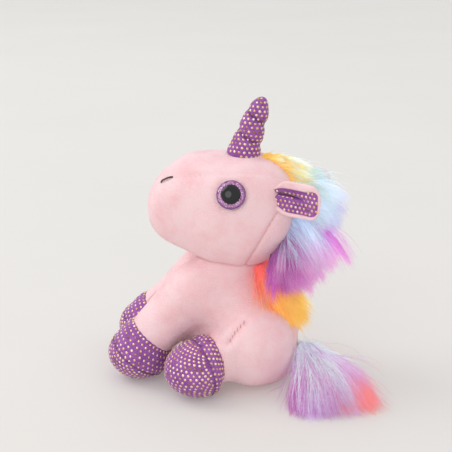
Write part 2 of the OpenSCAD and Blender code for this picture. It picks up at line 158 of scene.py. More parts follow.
def surface_net(field, low, high, step):
    """Points and quads of the surface where field is 0, on a grid of the given step."""
    axes = [np.arange(a, b + step, step) for a, b in zip(low, high)]
    grid = np.stack(np.meshgrid(*axes, indexing="ij"), -1)
    value = field(grid.reshape(-1, 3)).reshape(grid.shape[:3])
    shape = np.array(value.shape) - 1
    total, count = np.zeros((*shape, 3)), np.zeros(tuple(shape))
    for axis in range(3):
        others = [a for a in range(3) if a != axis]
        for da in (0, 1):
            for db in (0, 1):
                start = [0, 0, 0]
                start[others[0]], start[others[1]] = da, db
                near = tuple(slice(s, s + n) for s, n in zip(start, shape))
                start[axis] = 1
                far = tuple(slice(s, s + n) for s, n in zip(start, shape))
                v0, v1 = value[near], value[far]
                cut = (v0 < 0) != (v1 < 0)
                t = np.where(cut, v0 / np.where(cut, v0 - v1, 1), 0)
                place = grid[near].copy()
                place[..., axis] += t * step
                total += place * cut[..., None]
                count += cut
    active = count > 0
    index = np.full(tuple(shape), -1)
    index[active] = np.arange(active.sum())
    points = total[active] / count[active][:, None]
    quads = []
    for axis in range(3):
        b, c = [(axis + 1) % 3, (axis + 2) % 3]
        low_s, high_s = [slice(1, n) for n in shape], [slice(1, n) for n in shape]
        low_s[axis], high_s[axis] = slice(0, shape[axis]), slice(1, shape[axis] + 1)
        v0, v1 = value[tuple(low_s)], value[tuple(high_s)]

        def cells(db, dc):
            where = [None, None, None]
            where[axis] = slice(0, shape[axis])
            where[b] = slice(1 - db, shape[b] - db)
            where[c] = slice(1 - dc, shape[c] - dc)
            return index[tuple(where)]

        ring = np.stack([cells(1, 1), cells(0, 1), cells(0, 0), cells(1, 0)], -1)
        outward, inward = (v0 < 0) & (v1 >= 0), (v0 >= 0) & (v1 < 0)
        quads += [ring[outward], ring[inward][:, ::-1]]
    for _ in range(3):
        points = points - to_surface(field, points)
    return points, np.concatenate(quads)


def gradient(field, points, step=0.4):
    out = np.empty_like(points)
    for a in range(3):
        d = np.zeros(3)
        d[a] = step
        out[:, a] = (field(points + d) - field(points - d)) / (2 * step)
    return out


def to_surface(field, points):
    g = gradient(field, points)
    move = field(points)[:, None] * g / np.maximum((g * g).sum(1, keepdims=True), 0.05)
    return np.clip(move, -1, 1)


def part_mesh(points, quads, keep):
    """The quads marked in keep, with only their own points, and the old index of each."""
    quads = quads[keep]
    used, flat = np.unique(quads, return_inverse=True)
    return points[used], flat.reshape(quads.shape), used


# ---- the CAD model as a source of positions ----

def cad_tree(*names):
    """A search tree over these CAD nodes, in mm."""
    points, faces, base = [], [], 0
    for name in names:
        obj = frame["nodes"][name]
        data = obj.data
        co = np.empty(len(data.vertices) * 3)
        data.vertices.foreach_get("co", co)
        m = np.array(obj.matrix_world)
        co = co.reshape(-1, 3) @ m[:3, :3].T + m[:3, 3]
        points += [Vector(p) for p in co / MM]
        faces += [[base + i for i in poly.vertices] for poly in data.polygons]
        base += len(data.vertices)
    return BVHTree.FromPolygons(points, faces)


def fill_holes(radius):
    """Fills the missing values of a map that wraps round its second axis, from what lies around them."""
    missing = np.isnan(radius)
    radius = np.where(missing, np.nanmean(radius), radius)
    for _ in range(900):
        padded = np.pad(radius, ((1, 1), (0, 0)), mode="edge")
        around = (padded[2:] + padded[:-2] + np.roll(radius, 1, 1) + np.roll(radius, -1, 1)) / 4
        radius = np.where(missing, around, radius)
    return radius


def blur(radius, rounds):
    for _ in range(rounds):
        padded = np.pad(radius, ((1, 1), (0, 0)), mode="edge")
        radius = radius / 2 + (padded[2:] + padded[:-2] + np.roll(radius, 1, 1) + np.roll(radius, -1, 1)) / 8
    return radius


def lookup(table, row, turn):
    """A value from a map at fractional rows and at turns from 0 to 1."""
    rows, columns = table.shape
    row = np.clip(row, 0, rows - 1.001)
    col = (turn % 1) * columns
    i, j = row.astype(int), col.astype(int) % columns
    a, b = row - i, col - np.floor(col)
    k = (j + 1) % columns
    return ((1 - a) * ((1 - b) * table[i, j] + b * table[i, k])
            + a * ((1 - b) * table[i + 1, j] + b * table[i + 1, k]))


def joint_at(name):
    for joint in frame["joints"]:
        if joint["name"] == name:
            return np.array(joint["pos_m"]) / MM
    raise ValueError(name)


def hoof_at(kind, side):
    """Middle of a hoof's ball, from the box of its two CAD panels."""
    boxes = [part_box(f"hoof_{kind}_{side}_{part}") for part in ("band", "sole")]
    low = np.min([np.array(b[0]) for b in boxes], 0) / MM
    high = np.max([np.array(b[1]) for b in boxes], 0) / MM
    return np.array([(low[0] + high[0]) / 2, low[1] + HOOF_R, low[2] + HOOF_R])


class Limb:
    """A leg's axis: from its joint to the middle of its hoof, with its radius along it."""

    def __init__(self, kind, side):
        joint = {"fore": f"foreleg_{side}_lift", "hind": f"hindleg_{side}_turn"}[kind]
        self.kind, self.side, self.body = kind, side, f"{kind}leg_{side}"
        self.root, self.hoof = joint_at(joint), hoof_at(kind, side)
        self.along = unit(self.hoof - self.root)
        self.middle = float(np.linalg.norm(self.hoof - self.root))
        self.ankle = self.middle - math.sqrt(HOOF_R**2 - ANKLE_R**2)
        self.root_r = SHOULDER_R if kind == "fore" else HIP_R
        self.seam = self.middle + (3.2 if kind == "fore" else -1.0)
        self.sign = SIDES[side]

    def split(self, p):
        s = (p - self.root) @ self.along
        return s, np.linalg.norm(p - self.root - s[:, None] * self.along, axis=1)

    def field(self, p):
        s, _ = self.split(p)
        t = np.clip(s, 0, self.ankle + 8)
        near = self.root + t[:, None] * self.along
        r = self.root_r + (ANKLE_R + 0.1 - self.root_r) * np.minimum(t / self.ankle, 1)
        return np.maximum(np.linalg.norm(p - near, axis=1) - r, s - self.ankle - 5)


limbs = [Limb(kind, side) for kind in ("fore", "hind") for side in SIDES]


# ---- materials ----

def srgb(r, g, b):
    """Linear colour from one given on a 0 to 255 scale."""
    def one(c):
        c = c / 255
        return c / 12.92 if c <= 0.04045 else ((c + 0.055) / 1.055) ** 2.4
    return np.array([one(r), one(g), one(b)])


class Nodes:
    """A material under construction."""

    def __init__(self, name):
        self.material = bpy.data.materials.new(name)
        self.material.use_nodes = True
        self.tree = self.material.node_tree
        self.shader = self.tree.nodes["Principled BSDF"]

    def add(self, kind, **settings):
        node = self.tree.nodes.new(kind)
        for key, value in settings.items():
            if key.startswith("in_"):
                node.inputs[key[3:].replace("_", " ")].default_value = value
            else:
                setattr(node, key, value)
        return node

    def link(self, a, b):
        self.tree.links.new(a, b)

    def set(self, **settings):
        for key, value in settings.items():
            self.shader.inputs[key.replace("_", " ")].default_value = value

    def place(self):
        if not hasattr(self, "_place"):
            self._place = self.add("ShaderNodeTexCoord").outputs["Object"]
        return self._place

    def value(self, name):
        return self.add("ShaderNodeAttribute", attribute_name=name).outputs["Fac"]

    def colour(self, name):
        return self.add("ShaderNodeAttribute", attribute_name=name).outputs["Color"]

    def noise(self, scale, detail=2.0, rough=0.5):
        node = self.add("ShaderNodeTexNoise", in_Scale=scale, in_Detail=detail, in_Roughness=rough)
        self.link(self.place(), node.inputs["Vector"])
        return node.outputs["Fac"]

    def math(self, kind, a, b=None, c=None):
        node = self.add("ShaderNodeMath", operation=kind)
        for socket, item in zip(node.inputs, (a, b, c)):
            if item is None:
                continue
            if isinstance(item, (int, float)):
                socket.default_value = item
            else:
                self.link(item, socket)
        return node.outputs[0]

    def ramp(self, source, stops):
        node = self.add("ShaderNodeValToRGB")
        elements = node.color_ramp.elements
        while len(elements) < len(stops):
            elements.new(0.5)
        for element, (at, colour) in zip(elements, stops):
            element.position = at
            element.color = (*colour, 1)
        self.link(source, node.inputs["Fac"])
        return node.outputs["Color"]

    def mix(self, factor, a, b, kind="MIX"):
        node = self.add("ShaderNodeMix", data_type="RGBA", blend_type=kind)
        for socket, item in ((node.inputs["Factor"], factor), (node.inputs[6], a), (node.inputs[7], b)):
            if isinstance(item, (int, float)):
                socket.default_value = item
            elif isinstance(item, (tuple, np.ndarray)):
                socket.default_value = (*item, 1)
            else:
                self.link(item, socket)
        return node.outputs[2]

    def bump(self, height, distance, strength=1.0, below=None):
        node = self.add("ShaderNodeBump", in_Distance=distance, in_Strength=strength)
        self.link(height, node.inputs["Height"])
        if below is not None:
            self.link(below, node.inputs["Normal"])
        return node.outputs["Normal"]

    def finish(self, colour, normal=None, rough=None):
        self.link(colour, self.shader.inputs["Base Color"])
        if normal is not None:
            self.link(normal, self.shader.inputs["Normal"])
        if rough is not None:
            self.link(rough, self.shader.inputs["Roughness"])
        return self.material


PINK = srgb(254, 217, 220)
PINK_DEEP = srgb(243, 172, 178)
PURPLE = srgb(186, 114, 192)
PURPLE_DEEP = srgb(122, 62, 138)


def pile_material(name, light, deep):
    """Short brushed pile: a fine knit rib, a fuzzy nap that lies in patches, and sheen at its edges.

    The value "seam" is the distance to the nearest seam, in mm; near it the colour darkens towards a deeper
    pink as painted shade in the seam's crease.
    """
    n = Nodes(name)
    patches = n.noise(70, 3, 0.55)
    fuzz = n.noise(1250, 4, 0.75)
    ribs = n.add("ShaderNodeTexWave", wave_type="BANDS", bands_direction="Z", wave_profile="SIN",
                 in_Scale=230.0, in_Distortion=2.2, in_Detail=2.0, in_Detail_Scale=1.4)
    n.link(n.place(), ribs.inputs["Vector"])
    seam = n.value("seam")
    line = n.math("SMOOTH_MIN", n.math("DIVIDE", seam, 0.75), 1.0, 0.3)
    tone = n.math("ADD", n.math("MULTIPLY", patches, 0.55), n.math("MULTIPLY", fuzz, 0.45))
    base = n.ramp(tone, [(0.36, deep * 0.45 + light * 0.55), (0.56, light)])
    # Painted shade: within about a millimetre of a seam, and where the head meets the torso, the pile darkens
    # towards its deeper pink.
    seam_shade = n.math("MULTIPLY", n.math("SUBTRACT", 1.0, line), 0.75)
    base = n.mix(seam_shade, base, tuple(deep * [0.95, 0.85, 0.88]))
    height = n.math("ADD", n.math("MULTIPLY", fuzz, 0.7), n.math("MULTIPLY", ribs.outputs["Fac"], 0.10))
    grain = n.bump(height, 0.0010, 0.7)
    crease = n.bump(line, 0.0006, 0.8, grain)
    n.set(Roughness=0.92, Sheen_Weight=0.45, Sheen_Roughness=0.45, Specular_IOR_Level=0.15,
          Subsurface_Weight=0.18, Subsurface_Scale=0.004)
    n.shader.inputs["Subsurface Radius"].default_value = (1.0, 0.55, 0.5)
    n.shader.inputs["Sheen Tint"].default_value = (1.0, 0.86, 0.89, 1)
    return n.finish(base, crease)


def knit_material(name, light, deep):
    """Tight knit under the foil dots."""
    n = Nodes(name)
    weave = n.add("ShaderNodeTexVoronoi", feature="F1", in_Scale=1700.0, in_Randomness=0.75)
    n.link(n.place(), weave.inputs["Vector"])
    patches = n.noise(160, 2)
    tone = n.math("ADD", n.math("MULTIPLY", weave.outputs["Distance"], 0.7), n.math("MULTIPLY", patches, 0.5))
    base = n.ramp(tone, [(0.2, light), (0.85, deep)])
    seam = n.value("seam")
    line = n.math("SMOOTH_MIN", n.math("DIVIDE", seam, 0.8), 1.0, 0.3)
    # Painted shade: close to a seam, in the horn's creases and in the ear's fold, the knit darkens towards
    # half its deep purple.
    base = n.mix(n.math("SUBTRACT", 1.0, line), base, tuple(deep * 0.5))
    grain = n.bump(weave.outputs["Distance"], 0.0002, 0.6)
    crease = n.bump(line, 0.0006, 0.9, grain)
    n.set(Roughness=0.72, Sheen_Weight=0.5, Sheen_Roughness=0.35, Specular_IOR_Level=0.25)
    n.shader.inputs["Sheen Tint"].default_value = (0.86, 0.66, 0.95, 1)
    return n.finish(base, crease)


def foil_material():
    """Gold foil whose colour runs from dark brown to near white from dot to dot: painted reflection, dark and
    bright glints on top of each dot's real tilt. "chance" is each dot's own number.
    """
    n = Nodes("gold_foil")
    chance = n.value("chance")
    # Painted reflection: some dots are dark brown and some near white, as if catching dark surroundings or a
    # glint.
    base = n.ramp(chance, [(0.0, srgb(140, 98, 54)), (0.15, srgb(236, 194, 140)), (0.8, srgb(252, 224, 178)),
                           (1.0, srgb(255, 240, 206))])
    rough = n.math("ADD", n.math("MULTIPLY", n.noise(1500, 2), 0.2), 0.2)
    normal = n.bump(n.noise(2200, 2), 0.0001, 0.35)
    n.set(Metallic=0.92)
    return n.finish(base, normal, rough)


def fur_material():
    n = Nodes("fur")
    tint = n.colour("tint")
    streak = n.noise(900, 2)
    base = n.mix(n.math("MULTIPLY", streak, 0.25), tint, (1.0, 1.0, 1.0))
    # Painted light: the fur glows faintly in its own colour, standing in for light scattered through the dense
    # hair.
    n.link(base, n.shader.inputs["Emission Color"])
    n.set(Roughness=0.55, Sheen_Weight=0.2, Specular_IOR_Level=0.3, Emission_Strength=0.36)
    output = n.tree.nodes["Material Output"]
    through = n.add("ShaderNodeBsdfTranslucent")
    both = n.add("ShaderNodeMixShader", in_Fac=0.45)
    n.link(base, through.inputs["Color"])
    n.link(n.shader.outputs[0], both.inputs[1])
    n.link(through.outputs[0], both.inputs[2])
    n.link(both.outputs[0], output.inputs["Surface"])
    return n.finish(base)


def thread_material(name, colour):
    n = Nodes(name)
    twist = n.add("ShaderNodeTexWave", wave_type="BANDS", bands_direction="DIAGONAL", in_Scale=900.0,
                  in_Distortion=1.0)
    n.link(n.place(), twist.inputs["Vector"])
    base = n.mix(twist.outputs["Fac"], tuple(colour * 0.7), tuple(colour))
    normal = n.bump(twist.outputs["Fac"], 0.0002, 0.7)
    n.set(Roughness=0.6, Sheen_Weight=0.3)
    return n.finish(base, normal)


def plastic_material(name, colour, rough, coat=0.0, speck=0.08):
    n = Nodes(name)
    cloud = n.noise(400, 3)
    base = n.mix(n.math("MULTIPLY", cloud, speck), tuple(colour), tuple(np.minimum(colour * 1.6 + 0.02, 1)))
    scratch = n.bump(n.noise(3000, 2), 0.00002, 0.15)
    n.set(Coat_Weight=coat, Coat_Roughness=0.03)
    return n.finish(base, scratch, n.math("ADD", n.math("MULTIPLY", cloud, 0.06), rough))


def glitter_material():
    """Fine glitter flakes under clear plastic: each flake has its own tilt, colour and shine."""
    n = Nodes("eye_glitter_flakes")
    flakes = n.add("ShaderNodeTexVoronoi", feature="F1", in_Scale=1900.0)
    n.link(n.place(), flakes.inputs["Vector"])
    hue = n.add("ShaderNodeSeparateColor")
    n.link(flakes.outputs["Color"], hue.inputs["Color"])
    base = n.ramp(hue.outputs[0], [(0.0, srgb(160, 84, 156)), (0.4, srgb(212, 132, 200)),
                                   (0.75, srgb(238, 182, 228)), (1.0, srgb(255, 242, 252))])
    tilt = n.add("ShaderNodeNormalMap", in_Strength=0.55)
    n.link(flakes.outputs["Color"], tilt.inputs["Color"])
    n.set(Metallic=0.5, Coat_Weight=0.5, Coat_Roughness=0.02)
    rough = n.math("ADD", n.math("MULTIPLY", hue.outputs[1], 0.25), 0.18)
    return n.finish(base, tilt.outputs["Normal"], rough)


pink_pile = pile_material("pink_pile", PINK, PINK_DEEP)
dot_knit = knit_material("foil_dot_knit", PURPLE, PURPLE_DEEP)
gold = foil_material()
fur = fur_material()
stitch_pink = thread_material("stitch_pink", srgb(238, 146, 154))
stitch_dark = thread_material("stitch_dark", srgb(104, 62, 92))
nostril_thread = thread_material("nostril_thread", srgb(64, 34, 38))
eye_black = plastic_material("eye_black", srgb(12, 10, 12), 0.05, 0.0, 0.0)
eye_rim = plastic_material("eye_rim", srgb(122, 66, 130), 0.12, 0.4)
eye_glitter = glitter_material()
eye_white = plastic_material("washer_plastic", srgb(226, 224, 220), 0.4)


# ---- head ----

head_nodes = ["head_side_left", "head_side_right", "head_gusset", "head_back_left", "head_back_right"]
NECK_AT = joint_at("head_turn")


def head_directions(row, turn, rows):
    """Unit directions from the head's middle: rows run from the back (+Y) to the muzzle."""
    tilt = math.pi * row / (rows - 1)
    angle = 2 * math.pi * turn
    return np.stack([np.sin(tilt) * np.cos(angle), np.cos(tilt), np.sin(tilt) * np.sin(angle)], -1)


def head_map():
    """The distance from the head's middle to its outside in every direction, with the neck's hole closed."""
    tree = cad_tree(*head_nodes)
    rows, columns = 91, 120
    radius = np.full((rows, columns), np.nan)
    for i in range(rows):
        for j in range(columns):
            d = head_directions(np.array(i), np.array(j / columns), rows)
            hit = tree.ray_cast(Vector(HEAD_C + d * 120), Vector(-d), 112)
            if hit[0] is None:
                continue
            place = np.array(hit[0])
            if np.linalg.norm(place - NECK_AT) < 27.6 or (place - HEAD_C) @ d < 20:
                continue
            radius[i, j] = (place - HEAD_C) @ d
    return blur(fill_holes(radius), 10)


HEAD = head_map()


def head_radius(p):
    d = unit(p - HEAD_C)
    row = np.arccos(np.clip(d[:, 1], -1, 1)) / math.pi * (HEAD.shape[0] - 1)
    turn = np.arctan2(d[:, 2], d[:, 0]) / (2 * math.pi)
    return lookup(HEAD, row, turn)


def head_seams(p):
    """Distance in mm to the crown gusset's seams and to the seam behind the cheek."""
    x, y, z = p.T
    half = 26 - (y + 12) ** 2 * np.where(y > -12, 0.0078, 0.0045)
    nape = (y - 24) * 0.878 - (z - 118) * 0.479
    gusset = np.where(nape < 0, np.abs(np.abs(x) - half), 99)
    gusset = np.where(z < 112, 99, gusset)
    back = np.where(nape > 0, np.abs(x), 99)
    return gusset, np.abs(nape), back


def head_field(p):
    distance = (np.linalg.norm(p - HEAD_C, axis=1) - head_radius(p)) * 0.93
    gusset, nape, back = head_seams(p)
    for seam in (gusset, nape, back):
        distance = distance + 0.7 * np.exp(-(seam / 1.4) ** 2) - 0.15 * np.exp(-((seam - 6) / 4) ** 2)
    pucker = 0.12 * np.sin(p[:, 1] * 2.1 + p[:, 2] * 1.1) * np.exp(-(gusset / 3) ** 2)
    pucker += 0.14 * np.sin(p[:, 2] * 2.0) * np.exp(-(nape / 3) ** 2)
    for sign in SIDES.values():
        eye = EYE_AT * [sign, 1, 1]
        away = np.linalg.norm(p - eye, axis=1)
        distance = distance + 1.1 * np.exp(-(away / 9.5) ** 4) - 0.35 * np.exp(-((away - 13.5) / 3) ** 2)
    muzzle = 1.4 * smooth(-50, -66, p[:, 1])
    return distance + muzzle + pucker - 0.22 * wave_noise(p, 26, 3)


def make_head():
    low, high = np.array([-42.0, -84, 68]), np.array([42.0, 42, 158])
    points, quads = surface_net(head_field, low, high, 1.0)
    gusset, nape, back = head_seams(points)
    # These seam values darken the pile as painted shade: in the seams' creases and where the head meets the
    # torso.
    neck = np.abs(body_field(points)) * 0.8 + 0.15
    seam = np.minimum(np.minimum(gusset + 0.55, nape), np.minimum(back, neck))
    head = mesh_object("head_skin", points, quads, pink_pile, {"seam": seam})
    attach(head, "head")
    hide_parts(*head_nodes, "head_fill")


# ---- torso and legs ----

torso_nodes = ["torso_side_left", "torso_side_right", "torso_belly", "torso_base"]
TORSO_TOP = 86.0


def torso_axis(z):
    """The middle of the torso in Y, over its height."""
    return 9 - 18 * smooth(15, 85, z)


def torso_map():
    """The torso's radius round its own middle, with the leg holes closed, from the seat up."""
    tree = cad_tree(*torso_nodes[:3])
    levels, columns = 86, 144
    radius = np.full((levels, columns), np.nan)
    for i in range(levels):
        z = 1.0 + i
        middle = np.array([0, float(torso_axis(np.array(z))), z])
        for j in range(columns):
            a = 2 * math.pi * j / columns
            d = np.array([math.cos(a), math.sin(a), 0])
            hit = tree.ray_cast(Vector(middle + d * 120), Vector(-d), 110)
            if hit[0] is not None:
                radius[i, j] = (np.array(hit[0]) - middle) @ d
    radius[0] = np.where(np.isnan(radius[0]), 24, radius[0])
    return blur(fill_holes(radius), 9)


TORSO = torso_map()


def torso_field(p):
    x, y, z = p.T
    middle = torso_axis(z)
    turn = np.arctan2(y - middle, x) / (2 * math.pi)
    rump = 2.6 * smooth(8, 30, y) * np.exp(-((z - 22) / 15) ** 2)
    flat = (np.hypot(x, y - middle) - lookup(TORSO, np.clip(z, 1, TORSO_TOP) - 1, turn) + rump) * 0.88
    return soft_max(soft_max(flat, z - 93, 4), 0.1 - z, 2.5)


def tack_line(side, count=40):
    """Points along the hand-sewn line over a haunch."""
    t = np.linspace(-0.08, 1.08, count)[:, None]
    line = unit(np.array([0.80, -0.45, 0.38]) + t * np.array([-0.24, 0.32, 0.37]))
    points = THIGH_AT + line * THIGH_R
    return points * [SIDES[side], 1, 1]


TACKS = {side: tack_line(side) for side in SIDES}


def tack_distance(p):
    best = np.full(len(p), 99.0)
    for line in TACKS.values():
        near = (np.abs(p - line[len(line) // 2]) < 16).all(1)
        if near.any():
            d = np.linalg.norm(p[near][:, None] - line[None], axis=2).min(1)
            best[near] = np.minimum(best[near], d)
    return best


BELLY_AT = np.array([0.0, -27.0, 27.0])
BELLY_SHAPE = np.array([1.25, 1.0, 0.95])
BELLY_R = 16.5


def body_field(p):
    distance = torso_field(p)
    for limb in limbs:
        distance = soft_min(distance, limb.field(p), 13 if limb.kind == "fore" else 6)
    belly = np.linalg.norm((p - BELLY_AT) / BELLY_SHAPE, axis=1) - BELLY_R
    distance = soft_min(distance, belly, 12)
    tack = tack_distance(p)
    distance = distance + 1.6 * np.exp(-(tack / 1.6) ** 2) - 0.8 * np.exp(-((tack - 5.5) / 3) ** 2)
    return distance - 0.3 * wave_noise(p, 30, 5) - 0.1 * wave_noise(p, 11, 6)


def make_body():
    points, quads = surface_net(body_field, (-60, -94, -1.5), (60, 46, 95), 1.0)
    points[:, 2] = np.maximum(points[:, 2], 0.1)
    x, y, z = points.T
    tack = tack_distance(points)
    belly = np.where((z < 47) & (y < 0), np.abs(np.abs(x) - 13), 99)
    spine = np.where(y > 5, np.abs(x), 99)
    # These seam values darken the pile as painted shade: along the haunch tacks, the belly and spine seams,
    # and where the torso meets the head.
    neck = np.where(z > 60, np.abs(head_field(points)) * 0.6, 99)
    seam = np.minimum(np.minimum(tack * 0.8, belly), np.minimum(spine, neck))
    centre = points[quads].mean(1)
    owner = np.full(len(quads), -1)
    starts = {"fore": 9.0, "hind": 14.0}
    for k, limb in enumerate(limbs):
        s, away = limb.split(centre)
        owner[(s > starts[limb.kind]) & (away < limb.root_r + 2.5) & (centre[:, 0] * limb.sign > 0)] = k
    own, faces, used = part_mesh(points, quads, owner < 0)
    torso = mesh_object("torso_skin", own, faces, pink_pile, {"seam": seam[used]})
    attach(torso, "torso")
    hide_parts(*torso_nodes, "torso_fill")
    for k, limb in enumerate(limbs):
        own, faces, used = part_mesh(points, quads, owner == k)
        name = f"{limb.body}_skin"
        leg = mesh_object(name, own, faces, pink_pile, {"seam": seam[used]})
        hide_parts(f"{limb.body}_sleeve", f"{limb.body}_fill")
        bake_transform(leg)
    make_tacks()


def tube(path, radius, sides=6):
    """Points and quads of a tube along a path, with its own radius at each point and closed ends."""
    path = np.asarray(path, float)
    radius = np.broadcast_to(radius, len(path)).astype(float)
    forward = unit(np.gradient(path, axis=0))
    first = side_frame(forward[0])[0]
    rings = []
    for i in range(len(path)):
        first = unit(first - (first @ forward[i]) * forward[i])
        second = np.cross(forward[i], first)
        a = np.arange(sides) * 2 * math.pi / sides
        rings.append(path[i] + radius[i] * (np.outer(np.cos(a), first) + np.outer(np.sin(a), second)))
    return np.concatenate(rings), grid_faces(len(path), sides)


def joined(parts):
    """One set of points and faces from several."""
    points, faces, base = [], [], 0
    for p, f in parts:
        points.append(p)
        faces.append(f + base)
        base += len(p)
    return np.concatenate(points), np.concatenate(faces)


def make_tacks():
    """Ladder stitches that close each haunch, each half sunk into its fold."""
    parts = []
    for side, line in TACKS.items():
        middle = THIGH_AT * [SIDES[side], 1, 1]
        along = unit(line[-1] - line[0])
        for t in np.linspace(4, len(line) - 5, 6).astype(int):
            out = unit(line[t] - middle)
            across = np.cross(out, along)
            spread = np.linspace(-1.0, 1.0, 7)[:, None]
            lift = 0.1 - 0.9 * (1 - spread**2)
            parts.append(tube(line[t] + across * spread * 0.7 + along * spread * 0.9 + out * lift, 0.2))
    points, faces = joined(parts)
    tacks = mesh_object("haunch_tacks", points, faces, stitch_pink)
    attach(tacks, "torso")
    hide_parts("hip_stitches")


# ---- foil dots ----

def dots(points, normals, seed, size=DOT_R):
    """Foil dots as thin raised discs, each tilted a little its own way."""
    rng = np.random.default_rng(seed)
    count, sides = len(points), 9
    normals = unit(normals)
    tilted = unit(normals + rng.normal(0, 0.10, (count, 3)))
    other = np.where(np.abs(tilted[:, 2:3]) < 0.9, [[0.0, 0, 1]], [[1.0, 0, 0]])
    first = unit(np.cross(other, tilted))
    second = np.cross(tilted, first)
    a = np.arange(sides) * 2 * math.pi / sides
    round_ = first[:, None] * np.cos(a)[None, :, None] + second[:, None] * np.sin(a)[None, :, None]
    r = (size * rng.uniform(0.9, 1.08, count))[:, None, None]
    centre = points + normals * 0.13
    top = centre[:, None] + round_ * r - tilted[:, None] * 0.02
    foot = points[:, None] + round_ * r * 1.04 - normals[:, None] * 0.08
    every = np.concatenate([centre[:, None], top, foot], 1).reshape(-1, 3)
    k = np.arange(sides)
    nxt = (k + 1) % sides
    one = np.concatenate([
        np.stack([np.zeros(sides, int), 1 + k, 1 + nxt], 1),
        np.stack([1 + k, 1 + sides + k, 1 + sides + nxt], 1),
        np.stack([1 + k, 1 + sides + nxt, 1 + nxt], 1),
    ])
    faces = (one[None] + (np.arange(count) * (1 + 2 * sides))[:, None, None]).reshape(-1, 3)
    chance = np.repeat(rng.uniform(0, 1, count), 1 + 2 * sides)
    return every, faces, chance


def dot_object(name, spots, body, seed):
    points, normals = spots
    every, faces, chance = dots(points, normals, seed)
    obj = mesh_object(name, every, faces, gold, {"chance": chance})
    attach(obj, body)
    return obj


def hex_spots(rows, columns, pitch):
    """The places of a hexagonal pattern, row by row."""
    for row in rows:
        for col in columns:
            yield (col + 0.5 * (row % 2)) * pitch, row * pitch * HEX_ROW


def hex_plane(reach):
    """Points of a hexagonal pattern within the given distance of its middle."""
    n = int(reach / DOT_PITCH) + 3
    span = range(-n, n + 1)
    return np.array([(x, y) for x, y in hex_spots(span, span, DOT_PITCH) if math.hypot(x, y) < reach])


def facing(surface, u, v, step_u, step_v, outward):
    """Points of a surface with its unit normals there, on the side that outward says."""
    p = surface(u, v)
    along_u = surface(u + step_u, v) - surface(u - step_u, v)
    along_v = surface(u, v + step_v) - surface(u, v - step_v)
    normal = unit(np.cross(along_v, along_u))
    return p, normal * np.sign((normal * outward(p)).sum(-1, keepdims=True))


# ---- hooves ----

HOOF_SINK = 0.125                            # share of its height that a settled hoof loses
HOOF_SPREAD = {"fore": 0.05, "hind": 0.085}  # share of its width that it gains near the floor
HIND_SHIFT = (2.8, 1.4)                      # how far a hind hoof sits inward and back of its ball


def hoof_point(limb, s, angle):
    """A point on a hoof at distance s along the leg, with the seams pulled in and the floor's flat."""
    first, second = side_frame(limb.along)
    r = np.sqrt(np.maximum(HOOF_R**2 - (s - limb.middle) ** 2, 0.0))
    out = np.cos(angle)[..., None] * first + np.sin(angle)[..., None] * second
    seam, rim = s - limb.seam, s - limb.ankle
    gather = np.cos(angle * 17 + 2 * np.sin(angle * 3)) * np.exp(-np.abs(seam) / 2.2) * 0.16
    rim_gather = np.cos(angle * 21 + np.sin(angle * 2)) * np.exp(-np.abs(rim) / 2.5) * 0.15
    change = 0.15 - 0.3 * np.exp(-(seam / 0.8) ** 2) + 0.15 * np.exp(-((np.abs(seam) - 4) / 3) ** 2)
    change = change + gather + rim_gather - 0.2 * np.exp(-(rim / 1.0) ** 2)
    inward = np.stack(np.broadcast_arrays(s), -1)
    ball = limb.root + inward * limb.along + out * r[..., None]
    away = unit(ball - limb.hoof)
    ball = ball + away * change[..., None]
    flat = ball.reshape(-1, 3)
    lump = 0.22 * wave_noise(flat, 17, 11 + SIDES[limb.side]).reshape(ball.shape[:-1])
    ball = ball + away * lump[..., None]
    settled = smooth(0, 13, rim)
    spread = 1 + HOOF_SPREAD[limb.kind] * settled * smooth(40, 14, ball[..., 2])
    ball[..., 0] = limb.hoof[0] + (ball[..., 0] - limb.hoof[0]) * spread
    ball[..., 1] = limb.hoof[1] + (ball[..., 1] - limb.hoof[1]) * spread
    height = ball[..., 2] * (1 - HOOF_SINK * settled)
    ball[..., 2] = 0.12 + soft_max(height - 0.12, 0.02 * height, 0.8)
    if limb.kind == "hind":
        ball[..., 0] -= HIND_SHIFT[0] * limb.sign * settled
        ball[..., 1] += HIND_SHIFT[1] * settled
    return ball


def hoof_spots(limb, s, angle):
    """Points and outward normals on a hoof."""
    return facing(lambda u, v: hoof_point(limb, u, v), s, angle, 0.05, 0.004, lambda p: p - limb.hoof)


def hoof_panel(limb, part):
    columns = 128
    if part == "band":
        cosine = np.linspace(math.acos((limb.ankle - limb.middle) / HOOF_R),
                             math.acos((limb.seam - limb.middle) / HOOF_R), 40)
    else:
        cosine = np.linspace(math.acos((limb.seam - limb.middle) / HOOF_R), 0.001, 44)
    s = limb.middle + HOOF_R * np.cos(cosine)
    angle = np.arange(columns) * 2 * math.pi / columns
    grid_s, grid_a = np.meshgrid(s, angle, indexing="ij")
    points = hoof_point(limb, grid_s, grid_a)
    rows = [points.reshape(-1, 3)]
    count = len(s)
    if part == "band":
        ankle = limb.root + limb.ankle * limb.along
        tuck = limb.root + (limb.ankle + 0.6) * limb.along + (points[0] - ankle) * 0.93
        rows.insert(0, tuck)
        count += 1
    faces = grid_faces(count, columns)
    # These seam values darken the knit as painted shade: along the seam between band and sole, and fully on
    # the tucked row where the band rolls in under the leg.
    seam = np.abs(grid_s - limb.seam).ravel() + 0.62
    if part == "band":
        seam = np.concatenate([np.zeros(columns), seam])
    return np.concatenate(rows), faces, seam


